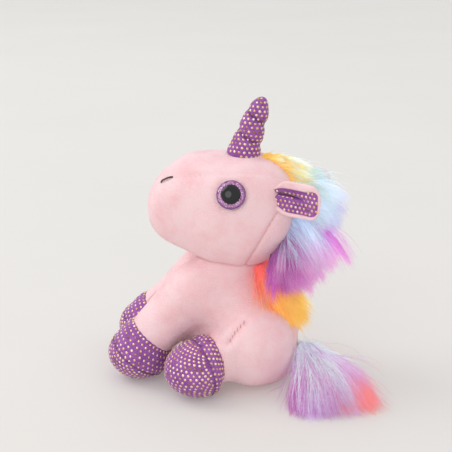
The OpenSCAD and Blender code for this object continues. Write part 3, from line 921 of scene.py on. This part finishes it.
def make_hoof(limb):
    label = f"hoof_{limb.kind}_{limb.side}"
    for part in ("band", "sole"):
        points, faces, seam = hoof_panel(limb, part)
        corner = points[faces[:, 0]]
        normal = np.cross(points[faces[:, 1]] - corner, points[faces[:, 3]] - corner)
        outward = (normal * (points[faces].mean(1) - limb.hoof)).sum(1).sum() > 0
        hoof = mesh_object(f"{label}_{part}_skin", points, faces if outward else faces[:, ::-1], dot_knit,
                           {"seam": seam})
        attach(hoof, limb.body)
        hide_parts(f"{label}_{part}")
    band_s, band_a = [], []
    across = DOT_PITCH * HEX_ROW
    low = math.acos((limb.ankle - limb.middle) / HOOF_R) * HOOF_R
    high = math.acos((limb.seam - limb.middle) / HOOF_R) * HOOF_R
    around = round(2 * math.pi * 19 / DOT_PITCH)
    for row in range(int((low - high - 1.6) / across) + 1):
        theta = (high + 1.3 + row * across) / HOOF_R
        for k in range(around):
            band_s.append(limb.middle + HOOF_R * math.cos(theta))
            band_a.append((k + 0.5 * (row % 2)) * 2 * math.pi / around)
    spots = hex_plane(high - 1.2)
    theta = np.hypot(spots[:, 0], spots[:, 1]) / HOOF_R
    sole_s = limb.middle + HOOF_R * np.cos(theta)
    sole_a = np.arctan2(spots[:, 1], spots[:, 0])
    s, angle = np.concatenate([band_s, sole_s]), np.concatenate([band_a, sole_a])
    p, normal = hoof_spots(limb, s, angle)
    keep = p[:, 2] > 0.6
    dot_object(f"{label}_dots", (p[keep], normal[keep]), limb.body, 20 + len(label) + SIDES[limb.side])
    make_hoof_stitches(limb, label)


def make_hoof_stitches(limb, label):
    """Thread that shows in the seam between a hoof's band and its sole."""
    parts = []
    for k in range(46):
        angle = 2 * math.pi * (k + 0.15 * math.sin(k * 2.3)) / 46
        shift = np.linspace(-1.0, 1.0, 5)
        p, normal = hoof_spots(limb, limb.seam + shift * 0.9, angle + shift * 0.035)
        lift = 0.12 + 0.35 * (1 - shift**2)
        if p[:, 2].min() > 0.7:
            parts.append(tube(p + normal * lift[:, None], 0.17, 5))
    points, faces = joined(parts)
    stitches = mesh_object(f"{label}_stitches", points, faces, stitch_dark)
    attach(stitches, limb.body)


# ---- horn ----

HORN_AT = joint_at("horn_bend")
horn_up = np.array([0, math.sin(math.radians(HORN_LEAN)), math.cos(math.radians(HORN_LEAN))])


def horn_crease(h, angle):
    """How deep the wound thread pulls the horn in here, from 0 to 1: its rounds slope as they climb."""
    u = h / HORN_LEN
    phase = np.cos(angle + 2 * math.pi * 2.75 * u - 5.0)
    return np.exp(-((1 - phase) * 1.5) ** 1.1) * smooth(0.06, 0.26, u) * (1 - smooth(0.80, 0.95, u))


def horn_point(h, angle):
    """A point on the horn at height h: a cone with a thread wound round it, leaning back at its tip."""
    u = h / HORN_LEN
    tip = np.sqrt(np.clip(1 - np.maximum(0, (u - 0.68) / 0.325) ** 2, 0.0, 1))
    base = HORN_BASE_R * (1.02 - 0.42 * np.clip(u, 0, 1)) * tip
    crease = horn_crease(h, angle)
    gather = 0.02 * np.cos(angle * 13 + 2 * np.sin(angle * 3)) * crease
    skirt = 0.03 * np.exp(-(h / 2.5) ** 2)
    r = base * (1.04 - 0.18 * crease + gather + skirt)
    centre = HORN_AT + np.stack(np.broadcast_arrays(h), -1) * horn_up
    first, second = np.array([1.0, 0, 0]), np.cross(horn_up, [1.0, 0, 0])
    lean = (1.9 * np.clip(u, 0, 1) ** 2)[..., None] * second
    out = np.cos(angle)[..., None] * first + np.sin(angle)[..., None] * second
    return centre + lean + r[..., None] * out


HORN_SLANT = 74.0   # from the cone's base to its sharp point, along its side


def make_horn():
    columns, rows = 96, 90
    h = np.concatenate([np.linspace(-2.6, HORN_LEN * 0.84, rows - 24),
                        HORN_LEN * (0.84 + 0.165 * np.sin(np.linspace(0.06, 1.5705, 24)))])
    angle = np.arange(columns) * 2 * math.pi / columns
    grid_h, grid_a = np.meshgrid(h, angle, indexing="ij")
    points = horn_point(grid_h, grid_a).reshape(-1, 3)
    faces = grid_faces(rows, columns)
    # The creases of the wound thread get a small seam value, so the knit darkens there as painted shade.
    seam = 0.25 + 3.0 * (1 - horn_crease(grid_h, grid_a).ravel())
    horn = mesh_object("horn_skin", points, faces[:, ::-1], dot_knit, {"seam": seam})
    orient(horn, HORN_AT + horn_up * 15)
    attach(horn, "horn")
    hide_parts("horn_shell", "horn_fill")
    # The pattern is laid out on the cone's flat cut, so its rows stay regular round the horn.
    spread = HORN_BASE_R / HORN_SLANT * 2 * math.pi
    spots_h, spots_a = [], []
    for x, y in hex_spots(range(-2, 40), range(-40, 41), FINE_PITCH):
        y += 30
        around = math.atan2(x, y)
        height = HORN_SLANT - math.hypot(x, y)
        if abs(around) < spread / 2 - 0.012 and -0.6 < height < HORN_LEN * 0.985:
            spots_h.append(height)
            spots_a.append(around / spread * 2 * math.pi + math.pi / 2)
    spots_h, spots_a = np.array(spots_h), np.array(spots_a)
    centre = HORN_AT + spots_h[:, None] * horn_up
    spots = facing(horn_point, spots_h, spots_a, 0.05, 0.01, lambda p: p - centre)
    dot_object("horn_dots", spots, "horn", 31)


def orient(obj, centre):
    """Turns a closed mesh's faces outward, away from a point inside it."""
    inside = Vector(np.asarray(centre) * MM)
    if sum(poly.normal.dot(poly.center - inside) * poly.area for poly in obj.data.polygons) < 0:
        obj.data.flip_normals()


# ---- ears ----

def ear_frame(side):
    """Origin and axes of an ear: along it, up across it, and out of its lining."""
    out = math.radians(EAR_OUT)
    sign = SIDES[side]
    origin = joint_at(f"ear_{side}_fold") + [0, 0.6, -0.3]
    hang = math.radians(1 if side == "left" else 16)
    open_ = np.array([math.cos(out) * sign, -math.sin(out), 0.0])
    along = np.array([math.sin(out) * sign, math.cos(out), 0.0]) * math.cos(hang)
    along[2] = -math.sin(hang)
    up = np.cross(along, open_) * -sign
    return origin, along, up * np.sign(up[2]), open_


def ear_half(u):
    """Half the ear's height at u from 0 at its seam to 1 at its end: a long box with round corners."""
    root = 6.2 + (EAR_HALF - 6.2) * np.sqrt(smooth(0.02, 0.42, u))
    return root * (1 - np.clip((u - 0.76) / 0.241, 0, 1) ** 2.9) ** 0.47


def ear_lining_edges(u):
    """Lower and upper edge of the lining: the fabric of the outer folds over it, most along the top."""
    half = ear_half(u)
    narrow = 1 - smooth(0.12, 0.40, u)
    return -half + 2.2 + 0.8 * narrow, half - 5.2 + 1.2 * narrow + 2.4 * smooth(0.7, 1, u)


def ear_sheet(side, u, w, depth):
    """A point of the ear at u along it, w mm above its middle line and depth mm out of its lining."""
    origin, along, up, open_ = ear_frame(side)
    cup = 0.014 * w**2 + 1.2 * smooth(0.5, 1, u) - 0.5 * np.sin(u * 5 + w * 0.2)
    length = u * EAR_LEN - 5.0
    return (origin + length[..., None] * along + w[..., None] * up + (cup + depth)[..., None] * open_)


def ear_fold(u, w):
    """How deep the lining's fold is: a slit from the ear's root along its upper third."""
    middle = 0.2 + 1.3 * np.sin(u * 5)
    return np.exp(-((w - middle) / 1.0) ** 2) * (1 - smooth(0.55, 0.75, u)), w - middle


def make_ear(side):
    """A pink outer whose edge rolls over into a rim, and a foil-dot lining with a fold from its root."""
    body = f"ear_{side}"
    origin, along, _, open_ = ear_frame(side)
    rows, columns = 70, 88
    u = 1 - np.linspace(1, 0, rows) ** 1.7
    angle = np.arange(columns) * 2 * math.pi / columns
    grid_u, grid_a = np.meshgrid(u, angle, indexing="ij")
    v = np.sign(np.cos(grid_a)) * np.abs(np.cos(grid_a)) ** 0.7
    half = ear_half(grid_u)
    w = v * half * np.where(v > 0, 0.5 + 0.5 * smooth(0.0, 0.3, grid_u), 1.0)
    low, high = ear_lining_edges(grid_u)
    rim = np.maximum(smooth(-0.9, 0.9, w - high) * 2.6, smooth(-0.7, 0.7, low - w) * 1.9)
    rim = np.maximum(rim, smooth(0.90, 0.97, grid_u) * 1.9)
    close = np.sqrt(np.clip(1 - np.abs(v) ** 7, 0, 1)) * np.sqrt(np.clip(1 - grid_u**14, 0, 1))
    front = (-1.0 + rim) * close
    depth = np.where(np.sin(grid_a) >= 0, front, -2.3 * close)
    sheet = np.stack([grid_u * 30, w, depth], -1).reshape(-1, 3)
    depth = depth + 0.12 * wave_noise(sheet, 9, 71).reshape(w.shape)
    points = ear_sheet(side, grid_u, w, depth).reshape(-1, 3)
    outer = mesh_object(f"{body}_outer_skin", points, grid_faces(rows, columns), pink_pile,
                        {"seam": np.full(rows * columns, 9.0)})
    orient(outer, origin + along * 15 - open_ * 1.0)
    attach(outer, body)
    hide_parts(f"{body}_outer")
    rows, columns = 64, 64
    grid_u, share = np.meshgrid(np.linspace(0.01, 0.955, rows), np.linspace(0, 1, columns), indexing="ij")
    low, high = ear_lining_edges(grid_u)
    w = low + (high - low) * share
    points = lining_point(side, grid_u, w).reshape(-1, 3)
    fold, away = ear_fold(grid_u, w)
    # Along the fold the seam value is small, so the lining darkens there as painted shade in the slit.
    seam = np.where(fold > 0.05, np.abs(away) * 0.9 + 1.2 * smooth(0.5, 0.72, grid_u), 9.0).ravel()
    faces = grid_faces(rows, columns, False)
    lining = mesh_object(f"{body}_lining_skin", points, faces, dot_knit, {"seam": seam})
    solid = lining.modifiers.new("cloth", "SOLIDIFY")
    solid.thickness, solid.offset = 0.0005, 0
    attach(lining, body)
    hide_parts(f"{body}_lining")
    spots_u, spots_w = [], []
    for x, y in hex_spots(range(-5, 6), range(13), FINE_PITCH):
        y += 0.4
        u = (x + 3.6) / EAR_LEN
        if u > 0.94:
            continue
        low, high = ear_lining_edges(np.array(u))
        deep, _ = ear_fold(np.array(u), np.array(y))
        if low + 0.5 < y < high - 0.5 and deep < 0.55:
            spots_u.append(u)
            spots_w.append(y)
    p, normal = facing(lambda u, w: lining_point(side, u, w), np.array(spots_u), np.array(spots_w), 0.004, 0.1,
                       lambda p: open_)
    dot_object(f"{body}_dots", (p + normal * 0.27, normal), body, 41 + SIDES[side])


def lining_point(side, u, w):
    """A point of an ear's lining, which bulges a little between its edges and dips into its fold."""
    low, high = ear_lining_edges(u)
    share = np.clip((w - low) / np.maximum(high - low, 0.1), 0, 1)
    fold, away = ear_fold(u, w)
    lip = 0.7 * np.exp(-((away + 1.6) / 1.1) ** 2) * (1 - smooth(0.5, 0.8, u))
    depth = 0.15 + 0.5 * np.sin(math.pi * share) + lip - 1.9 * fold
    return ear_sheet(side, u, w, depth)


# ---- eyes and nostrils ----

def lathe(profile, origin, axis, columns=96):
    """Points and quads of a turned shape: profile is a list of [radius, height] along the axis."""
    first, second = side_frame(axis)
    angle = np.arange(columns) * 2 * math.pi / columns
    ring = np.outer(np.cos(angle), first) + np.outer(np.sin(angle), second)
    points = [origin + h * axis + max(r, 0.001) * ring for r, h in profile]
    return np.concatenate(points), grid_faces(len(profile), columns)


def make_eye(side):
    tilt, turn = math.radians(EYE_TILT), math.radians(EYE_TURN)
    sign = SIDES[side]
    axis = np.array([math.sin(tilt) * math.cos(turn) * sign, math.sin(tilt) * math.sin(turn), math.cos(tilt)])
    origin = EYE_AT * [sign, 1, 1]
    inner = origin + axis * 0.6
    arc = np.linspace(0, math.pi / 2, 14)
    rim = [(0, -0.3), (EYE_R - 0.6, -0.3)] + [(EYE_R - 0.6 + 0.6 * math.cos(a), 0.55 + 0.85 * math.sin(a))
                                              for a in np.linspace(-1.57, 1.57, 12)]
    rim += [(EYE_R - 1.0, 1.2), (EYE_R - 1.2, 0.8), (0, 0.8)]
    ring = [(5.7, 0.7), (EYE_R - 0.75, 0.8), (EYE_R - 0.8, 1.35), (EYE_R - 1.6, 1.85), (6.6, 2.2),
            (5.7, 2.25)]
    pupil = [(0, 0.8), (6.25, 0.8)] + [(6.25 * math.cos(a), 2.1 + 2.5 * math.sin(a)) for a in arc]
    pieces = [("rim", rim, eye_rim, "post", "eye_rim"), ("ring", ring, eye_glitter, "glitter", "eye_glitter"),
              ("pupil", pupil, eye_black, "dome", "eye_pupil")]
    for label, profile, material, node, slot in pieces:
        points, faces = lathe(profile, inner, axis)
        obj = mesh_object(f"eye_{side}_{label}", points, faces, material)
        orient(obj, inner + axis * 1.2)
        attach(obj, "head")
        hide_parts(f"eye_{side}_{node}")


def make_nostrils():
    """Two strands of embroidery thread side by side, sunk into the pile at both ends."""
    low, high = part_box("nostril_left")
    front = np.array(low) / MM + [0.4, 0.6, 0.6]
    back = np.array(high) / MM - [0.4, 0.6, 0.6]
    for side, sign in SIDES.items():
        parts = []
        for k in (-0.5, 0.5):
            t = np.linspace(-0.22, 1.16, 16)[:, None]
            path = front + (back - front) * t + np.array([0.0, 0.28, -0.55]) * k
            path = path * [sign, 1, 1]
            out = unit(path - HEAD_C)
            reach = head_radius(path)[:, None]
            sink = 0.55 - 2.2 * np.abs(t - 0.47) ** 4 * 8
            parts.append(tube(HEAD_C + out * (reach + sink), 0.38))
        points, faces = joined(parts)
        obj = mesh_object(f"nostril_{side}_stitch", points, faces, nostril_thread)
        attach(obj, "head")
        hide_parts(f"nostril_{side}")


# ---- fur ----

FUR_REACH = np.array([81.0, 105.0])   # the furthest X and Y, in mm, of fur that lies on the table


def strands(roots, starts, lengths, droop, curl, width, tints, seed, locks, gather, floor=None):
    """Hairs as tapered three-sided tubes.

    Each leaves its root along its start direction, bends towards its droop direction, and draws in to the
    middle of its lock. tints is called with the places along the hair, from 0 to 1, and gives each hair's
    colour there. A floor, in mm, keeps the hairs above it and inside FUR_REACH.
    """
    steps = 6
    rng = np.random.default_rng(seed)
    count = len(roots)
    place = roots.copy()
    direction = unit(starts)
    swirl = rng.normal(0, curl, (count, 3)) * np.where(rng.uniform(0, 1, (count, 1)) < 0.06, 3.0, 1.0)
    second_swirl = rng.normal(0, curl, (count, 3))
    path, colours = [place.copy()], [tints(np.zeros(count))]
    for k in range(1, steps + 1):
        t = k / steps
        direction = unit(direction + droop * (1.1 / steps) + swirl * math.sin(t * 3.0) / steps * 2.2
                         + second_swirl * math.cos(t * 5.0) / steps * 1.6)
        place = place + direction * (lengths / steps)[:, None]
        path.append(place.copy())
        colours.append(tints(np.full(count, t)))
    path = np.stack(path, 1)
    _, member = np.unique(locks, return_inverse=True)
    total = np.zeros((member.max() + 1, *path.shape[1:]))
    np.add.at(total, member, path)
    middle = total[member] / np.bincount(member)[member][:, None, None]
    draw = gather * rng.uniform(0.4, 1.0, count)[:, None] * np.linspace(0, 1, steps + 1)[None] ** 1.3
    path = path + (middle - path) * draw[..., None]
    if floor is not None:
        path[..., 2] = np.maximum(path[..., 2], floor + rng.uniform(0, 1.2, count)[:, None])
        path[..., :2] = np.minimum(path[..., :2], FUR_REACH - rng.uniform(0, 4, (count, 1, 2)))
    forward = unit(np.gradient(path, axis=1))
    other = unit(rng.normal(size=(count, 1, 3)))
    first = unit(np.cross(np.broadcast_to(other, forward.shape), forward))
    second = np.cross(forward, first)
    taper = np.array([1.0] + [1 - 0.25 * (k / steps) - 0.65 * (k / steps) ** 3 for k in range(1, steps + 1)])
    r = width[:, None] / 2 * taper[None]
    angle = np.arange(3) * 2 * math.pi / 3
    rings = (path[:, :, None] + r[:, :, None, None]
             * (np.cos(angle)[None, None, :, None] * first[:, :, None]
                + np.sin(angle)[None, None, :, None] * second[:, :, None]))
    points = rings.reshape(-1, 3)
    one = grid_faces(steps + 1, 3)
    faces = (one[None] + (np.arange(count) * 3 * (steps + 1))[:, None, None]).reshape(-1, 4)
    tint = np.repeat(np.stack(colours, 1)[:, :, None], 3, 2).reshape(-1, 3)
    return points, faces, np.clip(tint, 0, 1)


def two_step(s, root, middle, tip):
    """Blends three colours along a hair."""
    s = s[:, None]
    lower = root + (middle - root) * np.clip(s * 2, 0, 1)
    return lower + (tip - lower) * np.clip(s * 2 - 1, 0, 1)


def palette(stops, t):
    """Colours at t along a list of (place, colour)."""
    places = [s[0] for s in stops]
    table = np.array([s[1] for s in stops])
    return np.stack([np.interp(t, places, table[:, c]) for c in range(3)], -1)


YELLOW = srgb(255, 216, 92)
PALE_YELLOW = srgb(252, 232, 150)
AQUA = srgb(206, 226, 228)
MIST = srgb(236, 244, 244)
SKY = srgb(190, 206, 230)
PALE_SKY = srgb(220, 229, 241)
LILAC = srgb(220, 198, 232)
ROSE = srgb(244, 194, 226)
MAGENTA = srgb(198, 80, 186)
PLUM = srgb(136, 42, 134)
ORCHID = srgb(216, 128, 206)
CORAL = srgb(250, 130, 118)
PEACH = srgb(252, 160, 132)
ORANGE = srgb(252, 172, 88)
GOLDEN = srgb(254, 220, 106)


UNDER_WIDTH = 1.7   # how much thicker the short hairs under the long ones are


def tufts(rng, seed, row, column):
    """Each hair's lock, from its place on a grid of locks, and its lock's own four random numbers."""
    rows = np.round(row + rng.normal(0, 0.25, len(row)))
    locks = rows * 100 + np.round(column + rng.normal(0, 0.25, len(row)))
    own = np.random.default_rng(seed + 9).normal(0, 1, (20000, 4))
    return locks, own[(locks.astype(int) + 9000) % 20000]


def fur_object(name, hairs, body):
    """An object of strands that rides on a body."""
    points, faces, tint = hairs
    obj = mesh_object(name, points, faces, fur, colours=tint)
    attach(obj, body)
    return obj


def jitter(rng, count, amount):
    return 1 + rng.normal(0, amount, (count, 1)) * np.array([[1.0, 0.9, 0.8]])


def head_surface(direction):
    """Points of the head in these directions from its middle, and its normals there."""
    d = unit(direction)
    p = HEAD_C + d * head_radius(HEAD_C + d * 10)[:, None]
    return p, unit(gradient(lambda q: np.linalg.norm(q - HEAD_C, axis=1) - head_radius(q), p, 1.5))


def mane_piece(name, count, seed, low, high, short):
    """Fur on the head's sewn strip, which widens from behind the horn down to the neck: t runs along it."""
    rng = np.random.default_rng(seed)
    t = rng.uniform(low, high, count)
    marks = [0, 0.2, 0.4, 0.6, 0.8, 1]
    half = np.interp(t, [0, 0.3, 0.45, 0.62, 0.74, 0.87, 1], [5, 6.5, 9, 13, 19, 23, 22])
    x = rng.uniform(-1, 1, count) * half
    tilt = np.radians(40 + 92 * t)
    p, normal = head_surface(np.stack([x / 45, np.sin(tilt), np.cos(tilt)], -1))
    starts = normal * np.interp(t, marks, [0.20, 0.28, 0.58, 0.66, 0.66, 0.60])[:, None]
    starts[:, 0] += x / 22 * (0.42 + 0.25 * smooth(0.6, 0.9, t))
    starts[:, 1] += np.interp(t, marks, [0.8, 0.7, 0.4, 0.05, 0.15, 0.2])
    starts[:, 2] += np.interp(t, marks, [-0.02, 0.0, -0.1, -0.45, -0.45, -0.5])
    locks, turn = tufts(rng, seed, t * 30, x / 4.2)
    chance = turn[:, 0]
    loose = (0.3 + 0.7 * smooth(0.2, 0.5, t))[:, None]
    edge = smooth(0.5, 0.95, np.abs(x) / half) * smooth(0.7, 0.88, t)
    starts[:, 1] -= 0.55 * edge
    starts += rng.normal(0, 0.10, (count, 3)) + turn[:, 1:] * [0.24, 0.12, 0.20] * loose
    lengths = np.interp(t, marks, [8, 17, 33, 38, 35, 29]) * rng.uniform(0.72, 1.1, count)
    lengths *= 1 + 0.13 * chance
    lengths *= 0.5 if short else 1
    droop = np.stack([0 * t, np.interp(t, marks, [0.1, 0.1, 0.1, 0.05, 0.26, 0.36]) - 0.42 * edge,
                      np.interp(t, marks, [-0.35, -0.65, -0.95, -1.05, -0.70, -0.50])], -1)
    inner = 1 - smooth(0.35, 0.8, np.abs(x) / half)
    place = t + rng.normal(0, 0.02, count) + 0.035 * chance - 0.07 * inner * smooth(0.6, 0.8, t)
    mix = jitter(rng, count, 0.07) * (1 + 0.09 * chance[:, None])
    root = palette([(0, YELLOW), (0.36, YELLOW), (0.44, AQUA), (0.52, SKY), (0.74, SKY), (0.82, PLUM),
                    (1, PLUM)], place)
    middle = palette([(0, YELLOW), (0.10, YELLOW), (0.26, PALE_YELLOW), (0.34, AQUA), (0.52, PALE_SKY),
                      (0.72, PALE_SKY), (0.83, MAGENTA), (1, MAGENTA)], place + 0.02 * chance)
    tip = palette([(0, PALE_YELLOW), (0.10, MIST), (0.40, MIST), (0.54, PALE_SKY), (0.64, LILAC),
                   (0.76, ROSE), (0.86, ORCHID), (1, MAGENTA)], place + 0.04 * chance)
    outer = (inner * smooth(0.5, 0.7, t) * 0.7)[:, None]
    middle = middle * (1 - outer * 0.8) + LILAC * outer * 0.8
    tip = tip * (1 - outer) + (ROSE * 0.6 + MIST * 0.4) * outer
    width = rng.uniform(0.26, 0.44, count) * (UNDER_WIDTH if short else 1)
    hairs = strands(p - normal * 0.6, starts, lengths, droop, 0.13, width,
                    lambda s: two_step(s, root, middle, tip) * mix, seed + 1, locks, gather=0.85)
    return fur_object(name, hairs, "head")


def nape_piece(name, count, seed, short):
    """Fur at the nape, on the torso: coral at its roots, golden at its tips."""
    rng = np.random.default_rng(seed)
    t = rng.uniform(0, 1, count)
    x = rng.uniform(-1, 1, count) * (16 - 6 * t) * rng.uniform(0.85, 1.1, count)
    z = 78 - 31 * t
    middle = torso_axis(z)
    angle = math.pi / 2 - x / 24
    reach = lookup(TORSO, z - 1, angle / (2 * math.pi))
    out = np.stack([np.cos(angle), np.sin(angle), np.zeros(count)], -1)
    p = np.stack([reach * np.cos(angle), middle + reach * np.sin(angle), z], -1)
    locks, turn = tufts(rng, seed, t * 8, x / 4.2)
    chance = turn[:, 0]
    starts = out * 1.15 + np.array([0, 0.2, -0.2]) + rng.normal(0, 0.26, (count, 3))
    starts[:, 0] += x / 14 * 0.8
    starts[:, 1] -= np.abs(x) / 14 * 0.5
    starts += turn[:, 1:] * [0.34, 0.2, 0.30]
    lengths = (33 - 10 * t) * rng.uniform(0.55, 1.1, count) * (1 + 0.16 * chance) * (0.5 if short else 1)
    droop = np.stack([np.zeros(count), np.full(count, 0.15), np.full(count, -0.90)], -1)
    place = t * 0.75 + rng.normal(0, 0.09, count) + 0.17 * chance
    mix = jitter(rng, count, 0.09) * (1 + 0.10 * turn[:, 1:2])
    root = palette([(0, CORAL), (0.55, CORAL), (0.85, ORANGE), (1, ORANGE)], place)
    middle = palette([(0, CORAL), (0.2, CORAL), (0.45, ORANGE), (0.7, GOLDEN), (1, GOLDEN)], place)
    tip = palette([(0, ORANGE), (0.25, GOLDEN), (1, GOLDEN)], place)
    width = rng.uniform(0.28, 0.46, count) * (UNDER_WIDTH if short else 1)
    hairs = strands(p - out * 0.6, starts, lengths, droop, 0.13, width,
                    lambda s: two_step(s, root, middle, tip) * mix, seed + 1, locks, gather=0.7)
    return fur_object(name, hairs, "torso")


TAIL_AT = joint_at("tail_lift")


def tail_piece(name, count, seed, short):
    """The tail's fur, fanned out from the rump over the table, pale at its root and coral at its end."""
    rng = np.random.default_rng(seed)
    lock_count = 64
    lock = rng.integers(0, lock_count, count)
    chance = rng.normal(0, 1, lock_count)[lock]
    fan = rng.uniform(-1, 1, lock_count)[lock]
    high = rng.uniform(0, 1, lock_count)[lock]
    turn = np.radians(TAIL_YAW + 8 + 36 * fan + rng.normal(0, 6, count))
    rise = np.radians(-17 + 38 * high * (1 - 0.3 * np.abs(fan)) + rng.normal(0, 6, count))
    ahead = np.stack([np.sin(turn), np.cos(turn), 0 * turn], -1)
    starts = ahead * np.cos(rise)[:, None] + np.array([0, 0, 1.0]) * np.sin(rise)[:, None]
    core = rng.uniform(0, 1, count)
    yaw = math.radians(TAIL_YAW)
    middle = TAIL_AT + np.array([math.sin(yaw), math.cos(yaw), -0.25]) * (-1 + 18 * core)[:, None]
    roots = middle + rng.normal(0, 2.0, (count, 3)) + ahead * 1.5
    lengths = 86 - 15 * core - np.where(fan < 0.2, 26, 10) * (fan - 0.2) ** 2
    lengths = lengths * rng.uniform(0.66, 1.03, count) * (1 + 0.08 * chance)
    lengths *= 0.55 if short else 1
    droop = ahead * 0.15 - np.array([0, 0, 1.0]) * (0.45 + 0.3 * high)[:, None]
    place = rng.normal(0, 0.05, count)
    hue = rng.uniform(-1, 1, lock_count)[lock] + rng.normal(0, 0.15, count)
    streak = (smooth(-0.3, 0.2, hue + 0.45 * fan) * (0.45 + 0.55 * smooth(-0.5, 0.2, fan)))[:, None]
    warm = (smooth(0.50, 0.18, np.abs(fan + 0.06)) * smooth(-0.5, 0.0, hue))[:, None]
    side = smooth(-0.1, -0.6, fan)[:, None]
    root = palette([(0, PALE_SKY), (1, MIST)], 0.35 + place * 3)
    middle_colour = MIST * (1 - streak) + ORCHID * streak
    tip = LILAC * (1 - streak) + (MAGENTA * 0.65 + ORCHID * 0.35) * streak
    tip = tip * (1 - side * 0.6) + ROSE * side * 0.6
    end = CORAL * 0.15 + PEACH * 0.85

    def tint_at(s):
        share = warm * smooth(0.66, 0.94, s)[:, None]
        return (two_step(s**1.15, root, middle_colour, tip) * (1 - share) + end * share) * mix

    mix = jitter(rng, count, 0.07) * (1 + 0.06 * chance[:, None])
    width = rng.uniform(0.28, 0.46, count) * (UNDER_WIDTH if short else 1)
    hairs = strands(roots, starts, lengths, droop, 0.12, width, tint_at, seed + 1, lock, gather=0.85,
                    floor=0.4)
    return fur_object(name, hairs, "tail")


def make_fur():
    pieces = [mane_piece("mane_crest_fur", 3600, 101, 0.0, 0.42, False),
              mane_piece("mane_back_fur", 6400, 103, 0.38, 0.74, False),
              mane_piece("mane_low_fur", 6800, 105, 0.70, 1.0, False),
              mane_piece("mane_under_fur", 6000, 107, 0.03, 1.0, True)]
    for piece in pieces:
        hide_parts("mane_head_pile", "mane_head_backing")
    for piece in (nape_piece("nape_fur", 5200, 121, False), nape_piece("nape_under_fur", 2600, 123, True)):
        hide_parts("mane_neck_pile", "mane_neck_backing")
    for piece in (tail_piece("tail_fur_long", 9000, 131, False),
                  tail_piece("tail_fur_under", 4000, 133, True)):
        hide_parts("tail_pile", "tail_backing")


# ---- what stays from the CAD model ----

def finish_cad():
    fill = Nodes("fibre_fill")
    fluff = fill.noise(900, 4, 0.7)
    fill.set(Roughness=0.95, Sheen_Weight=0.5)
    fibre = fill.finish(fill.ramp(fluff, [(0.3, srgb(226, 224, 220)), (0.7, srgb(250, 250, 248))]),
                        fill.bump(fluff, 0.0006, 0.8))
    weave = Nodes("plain_weave")
    check = weave.add("ShaderNodeTexBrick", in_Scale=700.0)
    weave.link(weave.place(), check.inputs["Vector"])
    weave.set(Roughness=0.85)
    cloth = weave.finish(weave.mix(weave.noise(300), tuple(srgb(232, 230, 226)), tuple(srgb(246, 245, 242))),
                         weave.bump(check.outputs["Fac"], 0.0002, 0.6))
    kept = {"eye_left_washer": eye_white, "eye_right_washer": eye_white, "neck_fill": fibre,
            "pellet_bag": cloth, "pellet_charge": eye_white, "tail_dock": fur_backing()}
    for name, material in kept.items():
        data = frame["nodes"][name].data
        data.materials.clear()
        data.materials.append(material)


def fur_backing():
    n = Nodes("fur_backing")
    loops = n.add("ShaderNodeTexVoronoi", in_Scale=1200.0)
    n.link(n.place(), loops.inputs["Vector"])
    n.set(Roughness=0.9, Sheen_Weight=0.4)
    base = n.ramp(loops.outputs["Distance"], [(0.1, srgb(222, 229, 240)), (0.7, srgb(192, 203, 224))])
    return n.finish(base, n.bump(loops.outputs["Distance"], 0.0003, 0.7))


# ---- floor, light and camera ----

def make_stage():
    n = Nodes("pale_table")
    cloud = n.noise(3, 3)
    # Painted light: the table glows faintly pinkish, which lifts the shadows on it and stands in for light
    # bounced off the pink toy.
    n.set(Roughness=0.55, Specular_IOR_Level=0.25, Emission_Strength=0.17)
    n.shader.inputs["Emission Color"].default_value = (1.0, 0.93, 0.91, 1)
    material = n.finish(n.ramp(cloud, [(0.3, srgb(200, 199, 194)), (0.7, srgb(204, 202, 198))]))
    bpy.ops.mesh.primitive_plane_add(size=12, location=(0, 0, 0))
    floor = bpy.context.object
    floor.name = "floor"
    floor.data.materials.append(material)


def make_light():
    world = bpy.data.worlds.new("studio")
    bpy.context.scene.world = world
    world.use_nodes = True
    background = world.node_tree.nodes["Background"]
    background.inputs["Color"].default_value = (0.93, 0.94, 0.95, 1)
    background.inputs["Strength"].default_value = 0.92
    bpy.context.scene.view_settings.view_transform = "Standard"
    lamps = (("key", (-0.3, -2.3, 2.4), 2.4, 29.0), ("fill", (2.8, -0.9, 1.9), 2.0, 16.0))
    for name, place, size, power in lamps:
        light = bpy.data.lights.new(name, "AREA")
        light.shape = "DISK"
        light.size, light.energy = size, power
        lamp = bpy.data.objects.new(name, light)
        lamp.location = place
        lamp.rotation_mode = "QUATERNION"
        lamp.rotation_quaternion = (Vector(place) - Vector((0, 0, 0.08))).to_track_quat("Z", "Y")
        bpy.context.scene.collection.objects.link(lamp)


def make_camera():
    azimuth, elevation, distance = math.radians(100), math.radians(16.5), 0.70
    target = Vector((0, -0.0127, 0.0999))
    back = Vector((math.sin(azimuth) * math.cos(elevation), -math.cos(azimuth) * math.cos(elevation),
                   math.sin(elevation)))
    data = bpy.data.cameras.new("camera")
    data.sensor_width, data.lens = 36.0, 18.0 / math.tan(math.radians(12))
    camera = bpy.data.objects.new("camera", data)
    camera.location = target + back * distance
    camera.rotation_mode = "QUATERNION"
    camera.rotation_quaternion = back.to_track_quat("Z", "Y")
    bpy.context.scene.collection.objects.link(camera)
    bpy.context.scene.camera = camera


make_camera()
make_stage()
make_light()
make_head()
make_body()
for limb in limbs:
    make_hoof(limb)
make_horn()
for side in SIDES:
    make_ear(side)
    make_eye(side)
make_nostrils()
make_fur()
finish_cad()
